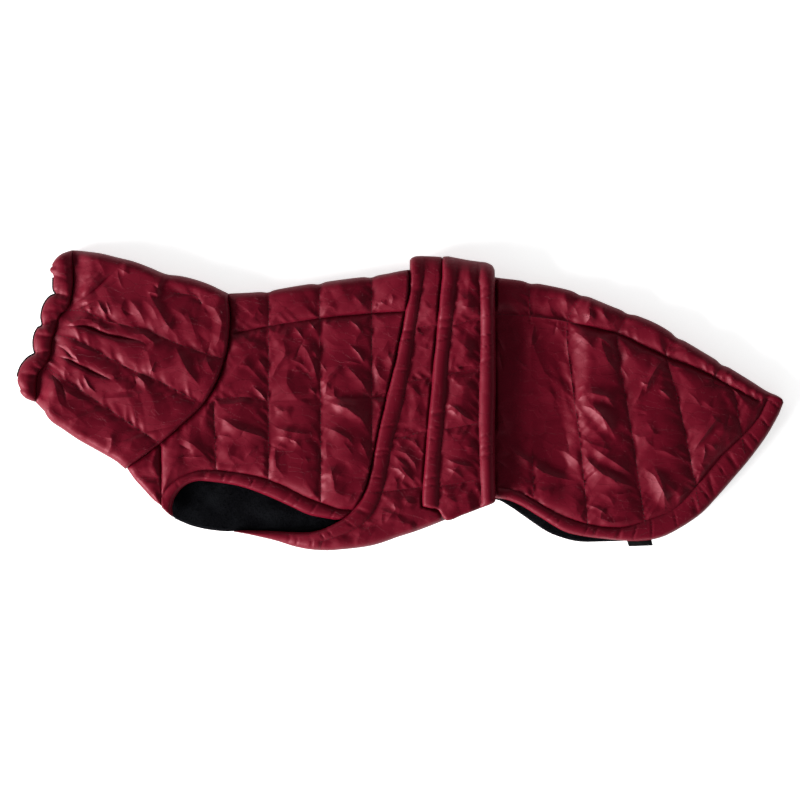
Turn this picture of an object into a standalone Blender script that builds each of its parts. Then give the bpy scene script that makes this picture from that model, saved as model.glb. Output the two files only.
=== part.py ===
"""Quilted, padded winter coat for a slim dog, empty and lying flat on its right side.

The coat is folded along the spine (the far edge, +Y) and along the belly (the near edge, -Y), with the
neck at -X and the tail at +X. Sizes are in millimetres until a mesh is written, which is in metres.
Each sewn piece is a cloth wall of one closed solid: an outer skin, an inner skin, turns where the cloth
folds back under itself, and a rim along every cut edge.
"""

import math
from collections import namedtuple

import bmesh
import bpy
import numpy as np
from mathutils import Vector
from mathutils.geometry import delaunay_2d_cdt

# ---------------------------------------------------------------- driving sizes, mm
MM = 0.001
SEAM_GAP = 0.3  # between two pieces that are sewn together
WALL = 3.6  # padded cloth where it is stitched down
FAR_WALL = 5.8  # padded cloth of the side that lies on the ground
THIN_WALL = 3.4  # padded cloth pressed between other layers
NEAR_LEVEL = 8.6  # inside of the side that faces up
LAYER_RISE = 3.9  # one pressed layer and the gap over it
WING_LEVEL = 13.1  # inside of the near wing where it lies on the coat's side
BELT_LEVEL = 17.2  # inside of the far wing where it lies on the near wing
STRIP_LEVEL = 5.4  # inside of the near wing's narrow front tongue
FLEECE = 1.2  # lining
HIDDEN_EDGE = 1.5  # how far a lining runs on under the edge that it shows beside
THIN_FLEECE = 0.8  # lining pressed between the tail flap's sides
LABEL = 1.0

CHANNEL = 15.0  # turned and topstitched edge
CHANNEL_ROLL = 3.0
EDGE_SOFTNESS = 4.0  # how far a cut edge is rounded
EDGE_DROP = 2.4
QUILT_REACH = 22.0  # distance from a stitch line at which the padding is full
BODY_PUFF = 6.5
WING_PUFF = 3.2
COLLAR_PUFF = 7.5
SPINE_TURN = 8.0  # how far the fold reaches past the near side's plan
COLLAR_TURN = 8.0
BELLY_TURN = 8.0
CHEST_TURN = 6.5
TURN_STEPS = 6
INNER_TURN = 0.6  # reach of a turn's inner skin as a share of its outer skin's
WRAP_WALL = 4.2  # thickness of a wing where it wraps the spine
TIP_DEPTH = 18.0  # length of the near wing's end beyond the spine

STEP = 9.0  # size of the cloth's facets
FINE_STEP = 6.5
FAR_STEP = 14.0
HEM_STEP = 4.0
GROUND_MARGIN, GROUND_RAMP = 15.0, 20.0  # how the far side rises over what lies under it
TIP_MARGIN, TIP_RAMP = 8.0, 30.0
PRESS_MARGIN, PRESS_RAMP = 9.0, 9.0  # how the padding is pressed flat under a wing
SAG_X, SAG_WIDTH, SAG_SHARE = 98.0, 34.0, 0.6  # the coat sags just behind the belt
LOBE_LOW, LOBE_RISE, LOBE_LEAST = 2.0, 6.5, 1.4  # wall of the mouth's hem between its pinches

Fold = namedtuple("Fold", "x0 y0 x1 y1 width height")  # a ridge, or a trough where the height is negative

# ---------------------------------------------------------------- outlines: x, y
SPINE = ((-165, 102.2), (-132, 104.2), (-94, 110.4), (-56, 115.7), (-17, 120.5), (10, 125), (48, 125),
         (84, 119.3), (96, 117), (125, 113.3), (167, 104.2), (205, 89.3), (244, 74.4), (275, 55.7), (305, 37.9),
         (336, 19.2), (357, 6.4), (367.9, -1.5))
TAIL_EDGE = ((367.5, -6), (361, -18.5), (351.4, -35), (336, -56), (320, -75), (303, -94.5),
             (288, -109.8), (266, -124.4), (247, -132.8), (224, -135.4), (194, -133), (171, -129.8), (155, -124.9), (135, -112.8),
             (114, -100.3), (96, -94.6), (67, -95.5), (29, -103), (-10, -109), (-38, -112), (-62, -115))
FAR_TAIL_EDGE = ((361, -6), (357, -17), (346, -33), (324, -60), (298, -91), (284, -106), (262, -121),
                 (245, -130), (224, -134.5), (194, -136), (171, -135.8), (152, -131), (138, -124.5),
                 (117, -110), (106, -102.5), (92, -95.5), (67, -95.5), (29, -103), (-10, -109), (-38, -112),
                 (-62, -112))
LEG_EDGE = ((-62, -115), (-87, -110.2), (-104, -102.5), (-123, -93.9), (-145, -85.3), (-162, -81),
            (-180, -78.5), (-195, -77.7), (-207, -82.8), (-215.6, -93), (-218.6, -103), (-217.5, -112.5))
FAR_LEG_EDGE = ((-62, -112), (-86, -106), (-103, -98), (-122, -90), (-144, -81.5), (-162, -77.5),
                (-180, -75), (-196, -74.4), (-210, -80), (-219, -91.5), (-222, -100))
LEG_CORNER = ((-223, -108.2), (-228.4, -102.8))  # where the channel's front end meets the chest
SIDE_SEAM = ((-228.4, -102.8), (-228.6, -93), (-229.3, -66), (-229.8, -41.8))
NECK_TOP = ((-229.8, -41.8), (-216, -30), (-202.6, -17.8), (-187.2, -2.4), (-174.8, 19.7), (-166.3, 45.6),
            (-163.2, 69.6), (-163.2, 86), (-164.6, 94.2))
NECK_FOOT = ((-257, -61.5), (-248.6, -55.7), (-239, -48.5), (-229.8, -41.8))
CHEST_EDGE = ((-261, -66), (-255.4, -75.4), (-247.7, -84), (-240, -92.6), (-234, -98.5), (-229.6, -102.6))
BELLY_EDGE = ((-216, -114.3), (-201.6, -120.5), (-186.2, -124.3), (-170.9, -126.2), (-156, -127.2),
              (-132.5, -132), (-117, -135.8), (-101.8, -140.6), (-86.4, -143.5), (-71, -144.5),
              (-55.7, -143.5), (-32.6, -140.8), (-17.3, -137), (-1.9, -131.4), (13.4, -126.6),
              (28.8, -120.9), (43.5, -115))
WING_FRONT = ((9.3, 117), (8.4, 100), (3.6, 77.3), (-2.1, 48.9), (-7.8, 24.2), (-19.2, -23.3), (-25.3, -54),
              (-34, -88.2), (-48, -108.9), (-66.5, -120.5), (-80, -125.5), (-94, -127), (-131.6, -126.2),
              (-156, -125.6))
BELT_FRONT = ((40.6, 118.5), (38, 100), (35.8, 71.5), (32.4, 37.9), (29.8, 7.2), (26.3, -29.3), (23.8, -60),
              (21.4, -90.7), (21.4, -101.7))
BELT_END = ((21.4, -101.7), (29, -103.5), (36.1, -104.8), (44.6, -115.1), (60, -110), (77.8, -103.2),
            (90, -98), (91.4, -93))
BELT_REAR = ((91.4, -93), (90.6, -35), (91.6, 11), (91.2, 70), (90.5, 113.5))
FAR_WING_FRONT = ((40.6, 118.5), (38, 100), (30, 50), (14, 0), (-14, -36), (-48, -56), (-72, -63.5))
MOUTH = ((-331, 128), (-335.5, 123.4), (-331.7, 118.9), (-332.2, 106.8), (-330, 101.9), (-336.6, 98),
         (-341.6, 90.3), (-343.8, 80.4), (-342.7, 71.5), (-347.6, 68.3), (-351, 59.4), (-351, 49.5),
         (-349.8, 44.6), (-357.5, 39.6), (-364.1, 30.8), (-366.9, 18.7), (-364, 10))
ELASTIC = ((-314.9, 136), (-313.9, 125.6), (-313.9, 109.9), (-317.9, 89.2), (-325.6, 82.6), (-328.9, 73.8),
           (-331.2, 65), (-334.4, 56.2), (-335.5, 44.1), (-339.9, 34.1), (-347, 26.4), (-349.2, 15.4),
           (-349.4, 6))
COLLAR_TOP = ((-314.9, 144.4), (-301.4, 142.8), (-286.1, 140.6), (-270.7, 136.8), (-255.4, 133), (-240, 127.3),
              (-224.6, 121), (-209.3, 118.9), (-194, 115), (-178.6, 109.2), (-164.6, 102.4))
COLLAR_FOOT = ((-349.8, -1.5), (-346, -6.5), (-335.5, -19.7), (-324.5, -27.4), (-309.1, -37.9), (-293.8, -46.6),
               (-278.4, -55.2), (-263, -65.4))

WING_TOP = ((9, 137.6), (21, 138.3), (32, 137.2), (38.5, 133.6), (44, 132.8), (67, 128.2), (88, 124.1))
BELT_TOP = ((40, 138.4), (51.8, 136.8), (67.2, 133.9), (82.6, 132), (88.3, 129.6), (91, 127))

# ---------------------------------------------------------------- stitch lines: x, y
QUILT_BODY = (
    ((-159.2, 63.6), (-126.5, 70.6), (-77.8, 78), (-27.8, 82.8), (9, 85)),
    ((-173, 1.4), (-147.8, 2.4), (-126.7, -1.4), (-76.8, 1.4), (-28.8, 1.9), (0, 2.4)),
    ((92.2, 82.1), (124.8, 80.2), (159, 75.4), (193.9, 67.1), (214, 61.2), (253.2, 41.8), (288, 28.3),
     (343, -1.5)),
    ((-178.6, -3), (-176.3, -66)), ((-126, 101), (-126, -79)), ((-77.1, 108), (-75.8, -98)),
    ((-27.1, 114), (-27, -50)), ((123.8, 108), (128, -90)),
    ((172.8, 98), (160, 71), (164.9, 16), (172.8, -42), (180, -118)),
    ((218.9, 80), (208, 59.2), (214, 16), (223.7, -42), (235, -119)),
    ((265, 57), (255.1, 42.7), (265.8, 2.4), (280.3, -67), (286, -100)),
    ((308, 33), (300.2, 16), (318.7, 8.4), (325.4, -23), (330, -50)),
)
STITCH_TAIL = ((352, 0), (339.4, -23), (308, -54), (288, -78), (265, -103), (243.4, -113), (214, -121.9),
               (184.3, -120), (155, -111), (133.4, -99.4), (112, -87.6), (92, -83.7))
STITCH_LEG = ((-49, -104.2), (-66.5, -100.8), (-97, -87), (-118, -80.2), (-142, -73.3), (-162.5, -69),
              (-180, -67.3), (-195, -68.2), (-210.5, -74.2), (-222, -83), (-228, -92))
STITCH_WING = ((23.5, 125), (16.9, 83), (10.2, 39.4), (1.6, -8.2), (-6.7, -37), (-11.6, -62.5), (-16.8, -87.8),
               (-28.8, -111.8), (-48, -126), (-75, -135.8))
STITCH_BELT_FRONT = ((54.7, 126), (50.9, 83), (45.9, 38), (43.5, 1.4), (38, -60), (36.4, -104))
STITCH_BELT_REAR = ((75.7, 126), (77, 76), (76.5, 38), (75.3, -23), (77.8, -100))
QUILT_BELT = (
    ((52, 71.5), (77, 79)), ((46, 25), (76.5, 30)), ((41, -28.5), (76, -22)), ((37, -83), (77, -76)),
)
QUILT_WING = (
    ((7.7, 17.3), (30, 21.6)), ((-2, -36.5), (24, -30)), ((-23, -89), (21, -83.5)), ((19, 70), (35, 71.5)),
)
QUILT_CHEST = (((-248, -75), (-231, -75)),)
QUILT_COLLAR = (
    ((-321, 86), (-302, 85), (-285, 77), (-259, 70.5), (-238, 64.5), (-216, 55), (-196, 47.5), (-169, 39)),
    ((-329, 62), (-313, 58), (-295.7, 50), (-281, 41.5), (-263, 32), (-246.7, 24.5), (-228.5, 17), (-197, 0)),
    ((-340, 32), (-323.5, 20.6), (-301.4, 6.2), (-279.4, -8.2), (-263, -19.7), (-245.8, -31.2), (-232, -40)),
    ((-223, 103), (-212, 102), (-196, 99.4), (-190, 92.6)),
)

# ---------------------------------------------------------------- the largest folds
COLLAR_FOLDS = (
    Fold(-317, 88, -293, 105, 6, -6), Fold(-293, 105, -265, 125, 6, -5),
    Fold(-310, 76, -287, 92, 7, 5), Fold(-287, 92, -262, 108, 7, 4),
    Fold(-326, 70.5, -300, 69, 5, -6), Fold(-300, 69, -246, 56, 5, -6),
    Fold(-334, 43, -307, 36, 5, -4), Fold(-307, 36, -273, 19, 5, -4),
    Fold(-223, 118, -230, 99, 5, -4), Fold(-262, 97, -246, 72, 8, 3),
    Fold(-242, 109, -226, 88, 6, -4), Fold(-226, 88, -212, 64, 6, -3),
    Fold(-190, 92, -173, 66, 7, 3), Fold(-173, 66, -173, 45, 7, 3),
    Fold(-216, 54, -189, 14, 7, -4), Fold(-279, 5, -229, 17, 5, -3),
    Fold(-279, -45, -246, -31, 6, -3), Fold(-246, -31, -212, -23, 6, -2.5),
    Fold(-324, -15, -284, -8, 6, -2.5),
)
BODY_FOLDS = (
    Fold(-177, -16, -149, -28, 7, -3.5), Fold(-149, -28, -125, -36, 7, -3),
    Fold(-90, 52, -80, 17, 7, 3), Fold(-107, 33, -88, -4, 10, -3),
    Fold(-74, -2, -33, -28, 8, 3), Fold(-116, -45, -108, -78, 7, -3),
    Fold(-214, -35, -180, -64, 8, 3.5), Fold(-58, -60, -48, -92, 7, -3),
    Fold(-162, 46, -144, 66, 6, -2.5), Fold(-170, 17, -140, 47, 7, -2.5),
    Fold(175, -50, 196, -67, 7, -4), Fold(196, -67, 227, -82, 7, -4),
    Fold(180, -40, 228, -70, 7, 3), Fold(128, -59, 175, -77, 7, -3),
    Fold(149, -55, 170, -62, 9, 3), Fold(193, 66, 211, 25, 7, -3),
    Fold(235, 4, 252, 38, 6, -3), Fold(172, -6, 200, -35, 7, 3),
    Fold(279, -54, 308, -14, 6, -2.5), Fold(230, -64, 252, -110, 7, 2.5),
    Fold(164, 66, 186, 45, 7, 2.5), Fold(173, 4, 207, -10, 7, -2),
)
WING_FOLDS = (Fold(-7, -48, 15, -70, 5, -2.5), Fold(-10, -66, -5, -91, 5, 2), Fold(44, -2, 74, -21, 5, -2.5),
              Fold(42, -55, 74, -64, 5, -2.5))

# the pinched places of the mouth's hem: from the elastic outwards
MOUTH_PINCHES = (Fold(-318, 100, -330, 102.5, 4, -4.5), Fold(-326, 78, -343, 71.5, 4, -4.5),
                 Fold(-334, 46, -350, 45, 4, -4.5), Fold(-330, 88, -342, 84, 2.5, -1.5),
                 Fold(-338, 61, -350, 63, 2.5, -1.5), Fold(-346, 24, -366, 25, 3, -1.8))

BURGUNDY = (0.105, 0.004, 0.014, 1.0)
BLACK_FLEECE = (0.006, 0.006, 0.007, 1.0)
BLACK_TAPE = (0.008, 0.008, 0.009, 1.0)


# ---------------------------------------------------------------- curves and areas in the plan
def smooth(rows, step):
    """A round curve through the rows, cut into equal lengths of about one step."""
    knots = np.array(rows, float)
    knots = np.vstack([2 * knots[0] - knots[1], knots, 2 * knots[-1] - knots[-2]])
    fine = []
    for a, b, c, d in zip(knots, knots[1:], knots[2:], knots[3:]):
        for t in np.arange(12) / 12:
            bend = (2 * a - 5 * b + 4 * c - d) * t**2 + (3 * b - a - 3 * c + d) * t**3
            fine.append(b + 0.5 * ((c - a) * t + bend))
    fine = np.array(fine + [knots[-2]])
    along = length_along(fine)
    places = np.linspace(0, along[-1], max(1, round(along[-1] / step)) + 1)
    return np.column_stack([np.interp(places, along, fine[:, axis]) for axis in (0, 1)])


def length_along(line):
    """Distance travelled at each point of a line."""
    return np.concatenate([[0], np.cumsum(np.linalg.norm(np.diff(line, axis=0), axis=1))])


def normals(line):
    """Unit normals on the right-hand side of the direction of travel."""
    tangent = np.gradient(line, axis=0)
    tangent /= np.linalg.norm(tangent, axis=1)[:, None]
    return np.column_stack([tangent[:, 1], -tangent[:, 0]])


def moved(line, distance):
    """The line moved sideways to its right; one distance, or one for each of its points."""
    return line + normals(line) * np.reshape(distance, (-1, 1))


def distance_to(points, line):
    """Distance of each point from a line of straight steps."""
    nearest = np.full(len(points), np.inf)
    for a, b in zip(line, line[1:]):
        step = b - a
        share = np.clip((points - a) @ step / max(step @ step, 1e-9), 0, 1)
        nearest = np.minimum(nearest, np.linalg.norm(points - a - share[:, None] * step, axis=1))
    return nearest


def distance_to_any(points, lines):
    """Distance of each point from the nearest of several lines."""
    return np.min([distance_to(points, line) for line in lines], axis=0)


def inside(points, outline):
    """Whether each point lies within a closed outline."""
    result = np.zeros(len(points), bool)
    x, y = points.T
    for a, b in zip(outline, np.roll(outline, -1, axis=0)):
        crosses = (a[1] > y) != (b[1] > y)
        rise = b[1] - a[1] if b[1] != a[1] else 1e-12
        result ^= crosses & (x < (b[0] - a[0]) * (y - a[1]) / rise + a[0])
    return result


def ease(low, high, value):
    """0 below low, 1 above high, and a soft slope between them."""
    t = np.clip((value - low) / (high - low), 0, 1)
    return t * t * (3 - 2 * t)


def taper(line, start, end, length):
    """A share for each point: start and end at the line's ends, and 1 beyond the given length from them."""
    along = length_along(line)
    from_start, from_end = ease(0, length, along), ease(0, length, along[-1] - along)
    return (start + (1 - start) * from_start) * (end + (1 - end) * from_end)


def footprint(points, outline, margin, ramp):
    """1 over an outline and its margin, falling to 0 over the ramp around it."""
    away = np.where(inside(points, outline), 0, distance_to(points, np.vstack([outline, outline[:1]])))
    return 1 - ease(margin, margin + ramp, away)


def fill_of(outline, spacing, lines):
    """Points that fill an outline: a row just inside its edge, the stitch lines, and a hexagonal grid."""
    closed = np.vstack([outline, outline[:1]])
    row = moved(closed, EDGE_SOFTNESS)[:-1]
    row = row[inside(row, outline) & (distance_to(row, closed) > 0.85 * EDGE_SOFTNESS)]
    kept = []

    def keep(places, clearance):
        for place in places:
            if not kept or np.linalg.norm(np.array(kept) - place, axis=1).min() > clearance:
                kept.append(place)

    keep(row, 0.45 * spacing)
    for line in lines:
        places = smooth(line, 0.8 * spacing)
        keep(places[inside(places, outline) & (distance_to(places, closed) > 0.4 * spacing)], 0.45 * spacing)
    low, high = outline.min(axis=0), outline.max(axis=0)
    rise = spacing * math.sqrt(0.75)
    grid = np.array([
        (low[0] + (i + 0.5 * (j % 2)) * spacing, low[1] + j * rise)
        for j in range(int((high[1] - low[1]) / rise) + 1)
        for i in range(int((high[0] - low[0]) / spacing) + 1)
    ])
    keep(grid[inside(grid, outline) & (distance_to(grid, closed) > 0.7 * spacing)], 0.6 * spacing)
    return np.reshape(kept, (-1, 2))


# ---------------------------------------------------------------- relief of the cloth
def fullness(distance):
    """How full the padding is, from 0 on a stitch line to 1 in the middle of a quilted box."""
    return 1 - (1 - np.clip(distance / QUILT_REACH, 0, 1)) ** 3


def folds_at(points, folds):
    """The height that the listed ridges and troughs add."""
    total = np.zeros(len(points))
    for fold in folds:
        line = np.array([(fold.x0, fold.y0), (fold.x1, fold.y1)], float)
        total += fold.height * np.exp(-((distance_to(points, line) / fold.width) ** 2))
    return total


def quilted(points, stitching, puff, folds, channelled=(), flat=0.0):
    """Height of the outer skin over the stitched-down cloth: padding, folds and the roll of turned edges."""
    relief = puff * fullness(distance_to_any(points, stitching)) + folds_at(points, folds)
    relief = np.maximum(relief, -0.8) * (1 - flat)
    if not channelled:
        return relief
    edge = distance_to_any(points, channelled)
    share = 1 - ease(CHANNEL - 2, CHANNEL + 4, edge)
    rolled = CHANNEL_ROLL * np.sin(math.pi * np.clip(edge / CHANNEL, 0, 1)) * (1 - flat)
    return relief * (1 - share) + rolled * share


def soft_edge(points, edges):
    """How far the outer skin drops where it nears a cut edge."""
    return EDGE_DROP * (1 - ease(0, EDGE_SOFTNESS, distance_to_any(points, edges)))


# ---------------------------------------------------------------- cloth walls
class ClothWall:
    """One closed solid of cloth, put together from flat-lying areas, turns and rims."""

    def __init__(self):
        self.points = []
        self.faces = []

    def add(self, plan, height):
        """Adds points at the given heights and returns their indices."""
        first = len(self.points)
        heights = np.broadcast_to(height, len(plan))
        self.points.extend((x, y, z) for (x, y), z in zip(plan, heights))
        return np.arange(first, len(self.points))

    def area(self, runs, outer, inner, spacing, lines=()):
        """Adds both skins of the area within the runs, which join end to end, clockwise from above.
        Returns (plan, outer indices, inner indices) for each run."""
        outline = np.vstack([run[:-1] for run in runs])
        plan = np.vstack([outline, fill_of(outline, spacing, lines)])
        made = delaunay_2d_cdt([Vector(place) for place in plan], [], [list(range(len(outline)))], 1, 1e-6)
        upper = self.add(plan, outer(plan))
        lower = self.add(plan, inner(plan))
        source = [names[0] for names in made[3]]
        for corners in made[2]:
            a, b, c = (source[corner] for corner in corners)
            self.faces += [(upper[a], upper[b], upper[c]), (lower[c], lower[b], lower[a])]
        result = []
        start = 0
        for run in runs:
            steps = (start + np.arange(len(run))) % len(outline)
            result.append((plan[steps], upper[steps], lower[steps]))
            start += len(run) - 1
        return result

    def strip(self, first, second):
        """Joins two rows of points with triangles."""
        for a, b, c, d in zip(first, first[1:], second[1:], second):
            self.faces += [(a, b, c), (a, c, d)]

    def rims(self, runs):
        """Closes the wall along cut edges."""
        for _, outer, inner in runs:
            self.strip(outer, inner)

    def skin_turn(self, plan, top, bottom, height, outward, reach):
        """One skin's half turn from its top row to its bottom row, or to a new row at the given height."""
        high = np.array([self.points[k][2] for k in top])
        low = np.full(len(plan), float(height))
        if bottom is not None:
            low = np.array([self.points[k][2] for k in bottom])
        rows = [top]
        for step in range(1, TURN_STEPS + (bottom is None)):
            angle = math.pi * (0.5 - step / TURN_STEPS)
            place = plan + outward * (reach * math.cos(angle))[:, None]
            rows.append(self.add(place, (high + low) / 2 + (high - low) / 2 * math.sin(angle)))
        if bottom is not None:
            rows.append(bottom)
        for one, other in zip(rows, rows[1:]):
            self.strip(one, other)
        return rows

    def turn(self, upper, lower, outward, reach, inner_reach=None, ground=(0, THIN_WALL)):
        """Folds the cloth back under itself, from the upper run to the lower one, or to a cut edge."""
        plan = upper[0]
        reach = np.broadcast_to(reach, len(plan))
        inner_reach = reach * INNER_TURN if inner_reach is None else inner_reach
        outer_end, inner_end = (None, None) if lower is None else lower[1:]
        outer_rows = self.skin_turn(plan, upper[1], outer_end, ground[0], outward, reach)
        inner_rows = self.skin_turn(plan, upper[2], inner_end, ground[1], outward, inner_reach)
        for end in (0, -1):
            self.strip([row[end] for row in outer_rows], [row[end] for row in inner_rows])
        if lower is None:
            self.strip(outer_rows[-1], inner_rows[-1])

    def make(self, name, material, collection):
        """Writes the wall as a mesh object, in metres."""
        mesh = bpy.data.meshes.new(name)
        faces = [list(map(int, face)) for face in self.faces]
        mesh.from_pydata([Vector(place) * MM for place in self.points], [], faces)
        work = bmesh.new()
        work.from_mesh(mesh)
        bmesh.ops.recalc_face_normals(work, faces=work.faces[:])
        work.to_mesh(mesh)
        work.free()
        mesh.shade_smooth()
        mesh.materials.append(material)
        made = bpy.data.objects.new(name, mesh)
        collection.objects.link(made)
        return made


def squared(outward, first=None, last=None, blend=3):
    """The same directions, with the ends turned so that the turns of neighbouring pieces meet squarely."""
    result = outward.copy()
    for given, order in ((first, range(len(result))), (last, range(len(result) - 1, -1, -1))):
        if given is None:
            continue
        target = np.array(given, float) / math.hypot(*given)
        for step, k in zip(range(blend), order):
            mixed = target * (1 - step / blend) + result[k] * step / blend
            result[k] = mixed / np.linalg.norm(mixed)
    return result


# ---------------------------------------------------------------- how the layers are stacked
UP = (0.02, 1.0)
NECK_DOWN = (-0.8, -0.6)
MOUTH_DOWN = (-0.1, -1.0)
WING_FRONT_X, WING_REAR_X = 9.3, 88.0  # where the near wing crosses the spine
BELT_FRONT_X, BELT_REAR_X = 40.6, 90.8  # where the far wing crosses it
WING_REAR_CORNER = (87.5, -95.0)
TIP_AREA = np.array([(9, 100), (9, 140), (91, 140), (91, 100)])


def spine_fold():
    """The coat's silhouette at the spine, how far the fold reaches, and the fold's line in the plan."""
    silhouette = smooth(SPINE, STEP)
    reach = SPINE_TURN * taper(silhouette, 1.0, 0.3, 30)
    return silhouette, reach, moved(silhouette, reach)


def spine_between(start, end):
    """The fold's line where a wing crosses it."""
    fold = spine_fold()[2]
    x = np.linspace(start, end, max(3, round((end - start) / FINE_STEP)) + 1)
    return np.column_stack([x, np.interp(x, fold[:, 0], fold[:, 1])])


def ground_outline():
    """Plan of the layer on the ground under the far side: the belly panel and the far wing."""
    edge = smooth(BELLY_EDGE, STEP)
    wing = [(91, -97), (91, 118)]
    return np.vstack([edge, wing, smooth(FAR_WING_FRONT, STEP), [(-227, -66), (-227, -103)]])


def wing_outline():
    """Plan of the near wing, with the belt on it."""
    rear = [(92, 140), (92, -98), (44, -116)]
    return np.vstack([[(9, 140)], rear, smooth(BELLY_EDGE, STEP)[::-1], smooth(WING_FRONT, STEP)[::-1]])


def tip_share(points):
    """1 over the near wing's end, which lies under the far side at the spine."""
    return footprint(points, TIP_AREA, TIP_MARGIN, TIP_RAMP)


def ground_share(points):
    """1 where the belly panel, the far wing or the near wing's end lies between the far side and the ground."""
    return np.maximum(footprint(points, ground_outline(), GROUND_MARGIN, GROUND_RAMP), tip_share(points))


def pressed(points):
    """1 where the near wing and the belt press the near side flat."""
    return footprint(points, wing_outline(), PRESS_MARGIN, PRESS_RAMP)


def near_inside(points):
    """Height of the inside of the side that faces up."""
    return NEAR_LEVEL + LAYER_RISE * tip_share(points)


def far_outside(points):
    """Height of the outside of the side that faces the ground."""
    return LAYER_RISE * (ground_share(points) + tip_share(points))


def far_inside(points):
    """Height of the inside of the side that faces the ground."""
    return far_outside(points) + FAR_WALL - (FAR_WALL - THIN_WALL) * ground_share(points)


def level(height):
    """A height function that is the same everywhere."""
    return lambda points: np.full(len(points), float(height))


# ---------------------------------------------------------------- the pieces
def back_panel():
    """Back, sides and tail flap: one cloth folded at the spine."""
    wall = ClothWall()
    silhouette, reach, fold = spine_fold()
    tail, leg, side, neck = (smooth(rows, STEP) for rows in (TAIL_EDGE, LEG_EDGE, SIDE_SEAM, NECK_TOP))
    tail[0], neck[-1] = fold[-1], fold[0]
    corner = smooth((tuple(leg[-1]),) + LEG_CORNER, STEP)
    stitched = QUILT_BODY + (STITCH_TAIL, STITCH_LEG)
    stitching = [smooth(line, STEP) for line in stitched] + [neck, side]

    def near_top(points):
        sag = SAG_SHARE * np.exp(-(((points[:, 0] - SAG_X) / SAG_WIDTH) ** 2)) * ease(-105, -60, points[:, 1])
        relief = quilted(points, stitching, BODY_PUFF * (1 - sag), BODY_FOLDS, (leg, tail), pressed(points))
        return near_inside(points) + WALL + relief - soft_edge(points, (leg, tail))

    spine_run, *rims = wall.area((fold, tail, leg, corner, side, neck), near_top, near_inside, STEP, stitched)
    far_tail, far_leg = smooth(FAR_TAIL_EDGE, STEP), smooth(FAR_LEG_EDGE, STEP)
    far_tail[0] = fold[-1]
    far_corner = smooth((tuple(far_leg[-1]), LEG_CORNER[-1]), STEP)
    far_runs = (fold, far_tail, far_leg, far_corner, side, neck)
    far_run, *far_rims = wall.area(far_runs, far_outside, far_inside, FAR_STEP)
    wall.rims(rims + far_rims)
    wall.turn(spine_run, far_run, squared(-normals(silhouette), first=UP), reach)
    return wall


def collar_lines():
    """The collar's edges in the plan: top fold, neck seam, foot fold and elastic, clockwise."""
    top, foot = smooth(COLLAR_TOP, FINE_STEP), smooth(COLLAR_FOOT, FINE_STEP)[::-1]
    neck = np.vstack([smooth(NECK_FOOT, FINE_STEP)[:-1], smooth(NECK_TOP, STEP)])
    neck = moved(neck, -SEAM_GAP)[::-1]
    elastic = smooth(ELASTIC, FINE_STEP)[::-1]
    top_fold, foot_fold = moved(top, COLLAR_TURN), moved(foot, COLLAR_TURN)
    top_fold[0], top_fold[-1] = elastic[-1], neck[0]
    foot_fold[0], foot_fold[-1] = neck[-1], elastic[0]
    return top, foot, top_fold, neck, foot_fold, elastic


def collar():
    """The gathered tube, flattened: a near and a far layer joined by folds along its top and its foot."""
    wall = ClothWall()
    top, foot, top_fold, neck, foot_fold, elastic = collar_lines()
    stitching = [smooth(line, FINE_STEP) for line in QUILT_COLLAR] + [neck]

    def near_top(points):
        relief = quilted(points, stitching, COLLAR_PUFF, COLLAR_FOLDS)
        at_elastic = ease(0, 16, distance_to(points, elastic))
        return NEAR_LEVEL + WALL + (relief + 1.5) * at_elastic * ease(-2, 12, distance_to(points, neck))

    top_run, neck_run, foot_run, elastic_run = wall.area(
        (top_fold, neck, foot_fold, elastic), near_top, level(NEAR_LEVEL), FINE_STEP, QUILT_COLLAR
    )
    far_top, far_neck, far_foot, far_elastic = wall.area(
        (top_fold, neck, foot_fold, elastic), level(0), level(FAR_WALL), FAR_STEP
    )
    wall.rims([neck_run, elastic_run, far_neck, far_elastic])
    wall.turn(top_run, far_top, squared(-normals(top), UP, UP), COLLAR_TURN)
    wall.turn(foot_run, far_foot, squared(-normals(foot), NECK_DOWN, MOUTH_DOWN), COLLAR_TURN)
    return wall


def collar_casing():
    """The turned hem beyond the elastic, pinched into lobes."""
    wall = ClothWall()
    elastic = moved(smooth(ELASTIC, FINE_STEP), SEAM_GAP)
    mouth = smooth(MOUTH, HEM_STEP)[::-1]
    foot_fold = smooth((tuple(elastic[-1]), (-357.5, 7), tuple(mouth[0])), HEM_STEP)
    top_fold = smooth((tuple(mouth[-1]), (-324.5, 134), tuple(elastic[0])), HEM_STEP)
    runs = (elastic, foot_fold, mouth, top_fold)

    def near_top(points):
        from_elastic, from_mouth = distance_to(points, elastic), distance_to(points, mouth)
        across = from_elastic / (from_elastic + from_mouth + 0.1)
        rounded = LOBE_LOW + LOBE_RISE * np.sin(math.pi * (0.08 + 0.8 * across))
        return NEAR_LEVEL + np.maximum(rounded + folds_at(points, MOUTH_PINCHES), LOBE_LEAST)

    elastic_run, foot_run, mouth_run, top_run = wall.area(runs, near_top, level(NEAR_LEVEL), HEM_STEP * 1.25)
    far_elastic, far_foot, far_mouth, far_top = wall.area(runs, level(0), level(FAR_WALL), FAR_STEP)
    wall.rims([elastic_run, mouth_run, far_elastic, far_mouth])
    for run, far_run, first, last, start, end in (
        (foot_run, far_foot, MOUTH_DOWN, (-0.9, -0.5), 1.0, 0.5),
        (top_run, far_top, (-0.9, 0.5), UP, 0.6, 1.0),
    ):
        share = np.linspace(0, 1, len(run[0]))[:, None]
        outward = np.array(first) * (1 - share) + np.array(last) * share
        outward /= np.linalg.norm(outward, axis=1)[:, None]
        reach = COLLAR_TURN * np.linspace(start, end, len(run[0]))
        wall.turn(run, far_run, outward, reach)
    return wall


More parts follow.
